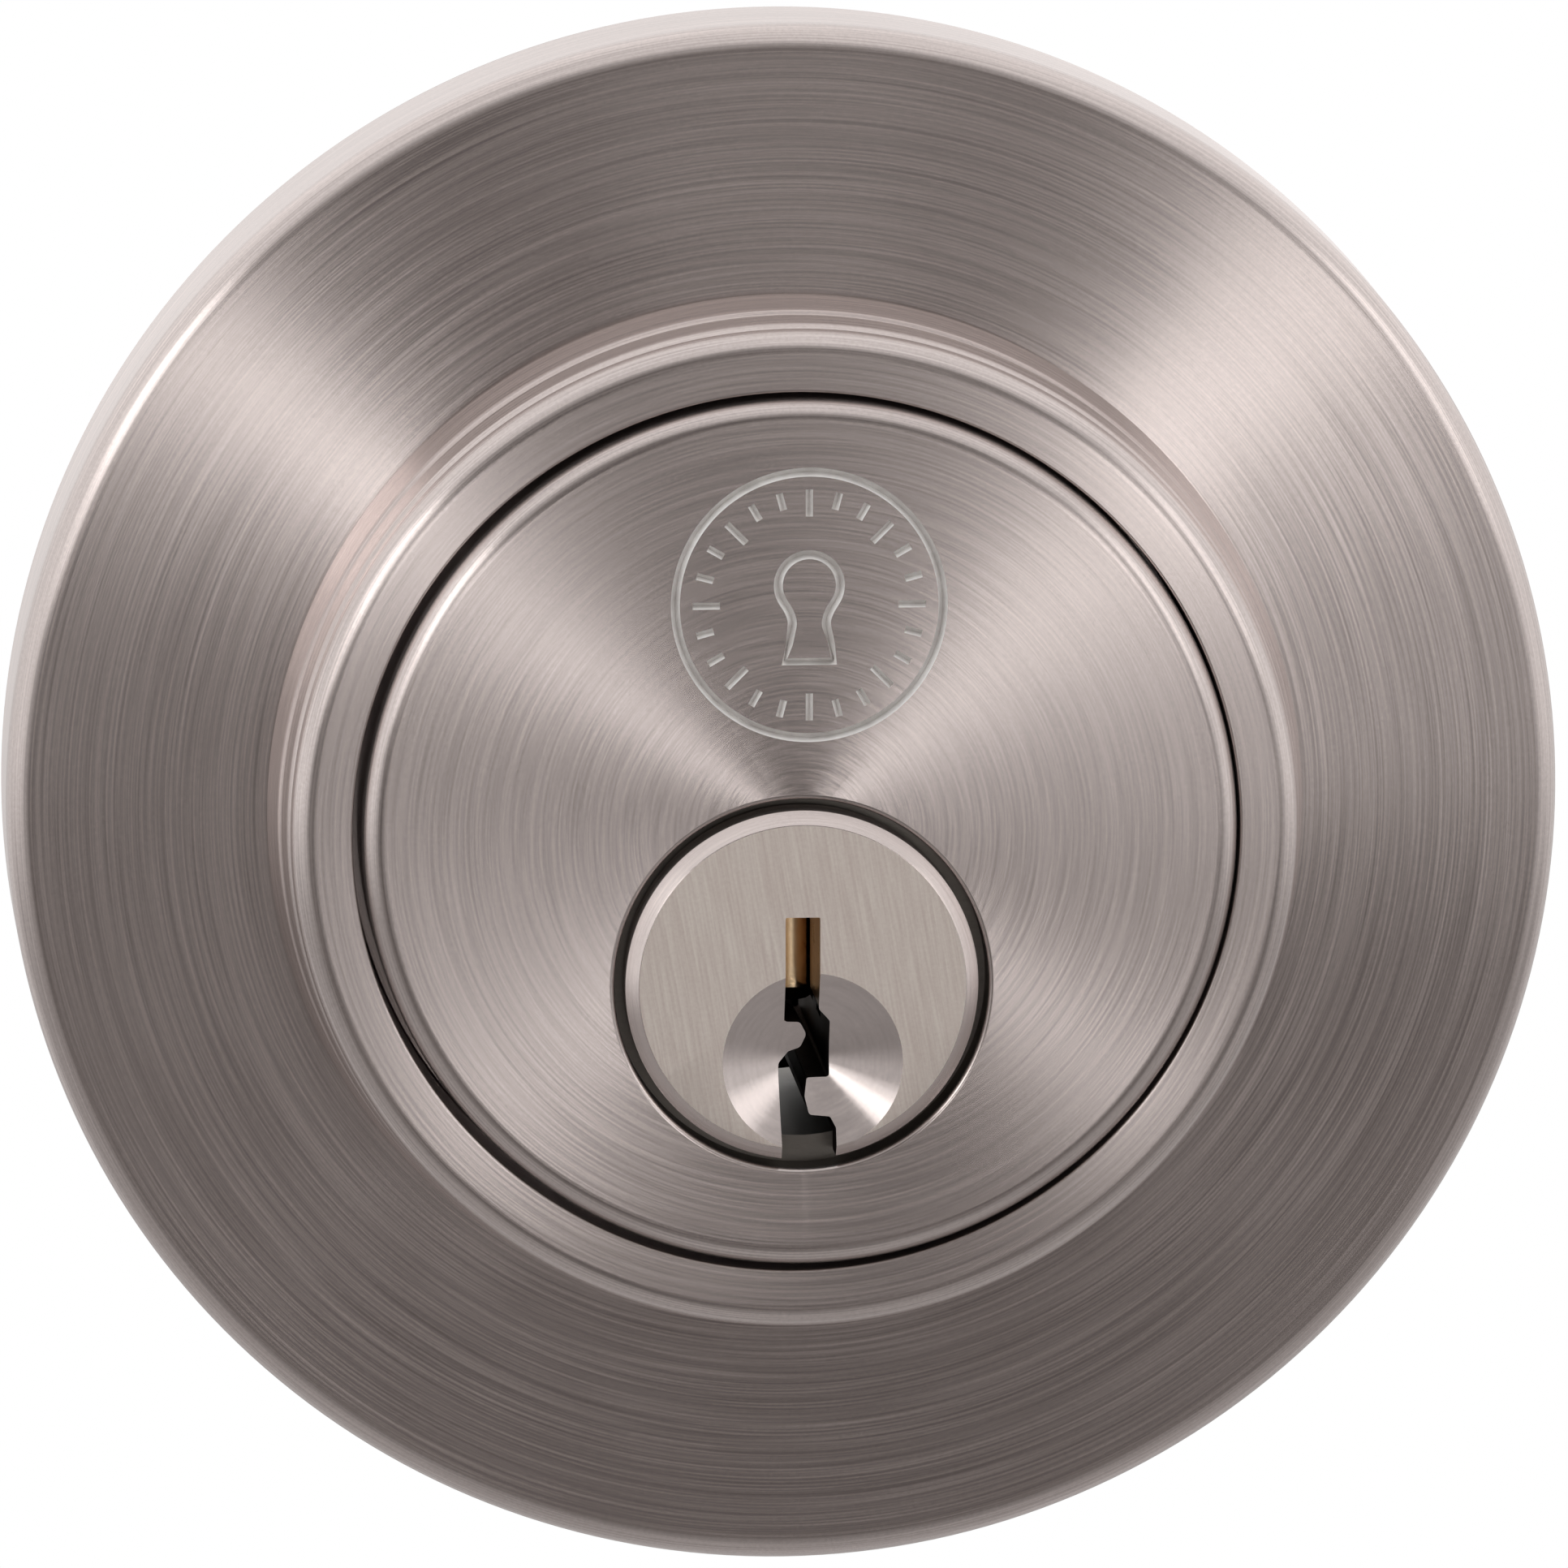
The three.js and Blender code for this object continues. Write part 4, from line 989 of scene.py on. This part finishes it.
def softbox(name, direction, length, width, strength, clock=0):
    """A rectangular light of a given radiance, facing the lock. Its length runs towards the clock angle."""
    data = bpy.data.lights.new(name, "AREA")
    data.shape = "RECTANGLE"
    data.size = length
    data.size_y = width
    data.energy = strength * length * width * math.pi
    light = bpy.data.objects.new(name, data)
    bpy.context.scene.collection.objects.link(light)
    away = direction.normalized()
    turn = math.radians(clock)
    run = Vector((math.cos(turn), 0, math.sin(turn)))
    run = (run - away * run.dot(away)).normalized()
    side = away.cross(run)
    facing = Matrix((run, side, away)).transposed().to_4x4()
    light.matrix_world = Matrix.Translation(away * LIGHT_DISTANCE) @ facing
    light.visible_camera = False


def camera():
    data = bpy.data.cameras.new("camera")
    data.sensor_width = 36
    data.lens = 394.7
    data.clip_start = 0.05
    data.clip_end = VIEW_END
    obj = bpy.data.objects.new("camera", data)
    bpy.context.scene.collection.objects.link(obj)
    obj.location = AIM + TO_CAMERA * CAMERA_DISTANCE
    obj.rotation_euler = TO_CAMERA.to_track_quat("Z", "Y").to_euler()
    bpy.context.scene.camera = obj


def floor():
    n = Nodes("floor_paper")
    place = n.place()
    n.feed(n.shader.inputs["Base Color"], n.tint(n.noise(place, 9), (0.86, 0.86, 0.86), (0.9, 0.9, 0.9)))
    n.feed(n.shader.inputs["Roughness"], n.between(n.noise(place, 60), 0.7, 0.85))
    n.bump(n.noise(place, 900), 0.05, 0.0002)
    bm = bmesh.new()
    bmesh.ops.create_grid(bm, x_segments=1, y_segments=1, size=4)
    obj = new_piece("floor", bm, [n.material])
    obj.location.z = FLOOR_Z
    obj.visible_glossy = False


def sky():
    """A white tent: dim in front where the camera stands, bright at the sides and above, less so below."""
    world = bpy.data.worlds.new("studio")
    bpy.context.scene.world = world
    world.use_nodes = True
    tree = world.node_tree
    nodes, links = tree.nodes, tree.links
    coordinates = nodes.new("ShaderNodeTexCoord")
    split = nodes.new("ShaderNodeSeparateXYZ")
    links.new(coordinates.outputs["Generated"], split.inputs[0])

    def ramp(socket, start, stop, low, high):
        node = nodes.new("ShaderNodeMapRange")
        node.interpolation_type = "SMOOTHSTEP"
        for key, value in {"From Min": start, "From Max": stop, "To Min": low, "To Max": high}.items():
            node.inputs[key].default_value = value
        links.new(socket, node.inputs["Value"])
        return node.outputs[0]

    sides = ramp(split.outputs["Y"], -0.88, -0.6, 0.0, 1.15)
    height = ramp(split.outputs["Z"], -0.4, 0.05, 0.33, 1.0)
    behind = ramp(split.outputs["Y"], 0.5, 0.95, 0.0, 0.4)
    total = nodes.new("ShaderNodeMath")
    total.operation = "MULTIPLY_ADD"
    links.new(sides, total.inputs[0])
    links.new(height, total.inputs[1])
    links.new(behind, total.inputs[2])
    colour = nodes.new("ShaderNodeMix")
    colour.data_type = "RGBA"
    colour.clamp_result = False
    links.new(total.outputs[0], colour.inputs[0])
    colour.inputs[6].default_value = (*DIM_FRONT, 1)
    colour.inputs[7].default_value = (1, 1, 1, 1)
    links.new(colour.outputs[2], nodes["Background"].inputs["Color"])
    nodes["Background"].inputs["Strength"].default_value = 1.0


def card():
    """A white card behind the rose, where the door would be. It shows only in reflections."""
    n = Nodes("card")
    tree = n.tree
    height = n.add("ShaderNodeSeparateXYZ", {0: n.place()}).outputs["Z"]
    glow = n.add("ShaderNodeEmission", {"Strength": n.between(height, 0.6, 1.15, -0.03, 0.03)})
    clear = n.add("ShaderNodeBsdfTransparent")
    rear = n.add("ShaderNodeNewGeometry").outputs["Backfacing"]
    either = n.add("ShaderNodeMixShader", {0: rear, 1: glow.outputs[0], 2: clear.outputs[0]})
    tree.links.new(either.outputs[0], tree.nodes["Material Output"].inputs[0])
    bm = bmesh.new()
    upright = Matrix.Rotation(math.radians(90), 4, "X")
    bmesh.ops.create_grid(bm, x_segments=1, y_segments=1, size=0.06, matrix=upright)
    obj = new_piece("card", bm, [n.material])
    obj.location.y = 1.0 * MM
    for ray in ("camera", "diffuse", "shadow", "transmission", "volume_scatter"):
        setattr(obj, "visible_" + ray, False)


camera()
floor()
card()
sky()
softbox("strip_left", reflected(6.3, 141.5), 0.32, 0.055, 3.2, clock=141.5)
softbox("strip_right", reflected(6.5, 44), 0.32, 0.09, 2.6, clock=44)
softbox("fill_right", reflected(5, 16), 0.28, 0.17, 0.75, clock=16)
softbox("fill_left", reflected(4, 183), 0.24, 0.15, 0.36, clock=183)
softbox("fill_top", reflected(6, 92), 0.28, 0.14, 0.4, clock=92)
softbox("key_left", reflected(26, 145), 0.42, 0.24, 1.3, clock=145)
softbox("lamp_left", Vector((-0.66, -0.72, 0.27)), 0.25, 0.45, 1.6)
softbox("lamp_right", Vector((0.72, -0.63, 0.28)), 0.25, 0.45, 1.3)
softbox("rear_left", Vector((-0.6, 0.75, 0.3)), 0.4, 0.5, 2.0)
softbox("rear_right", Vector((0.7, 0.6, 0.4)), 0.3, 0.5, 2.0)

bpy.context.scene.view_settings.view_transform = "Standard"
bpy.context.scene.view_settings.look = "None"
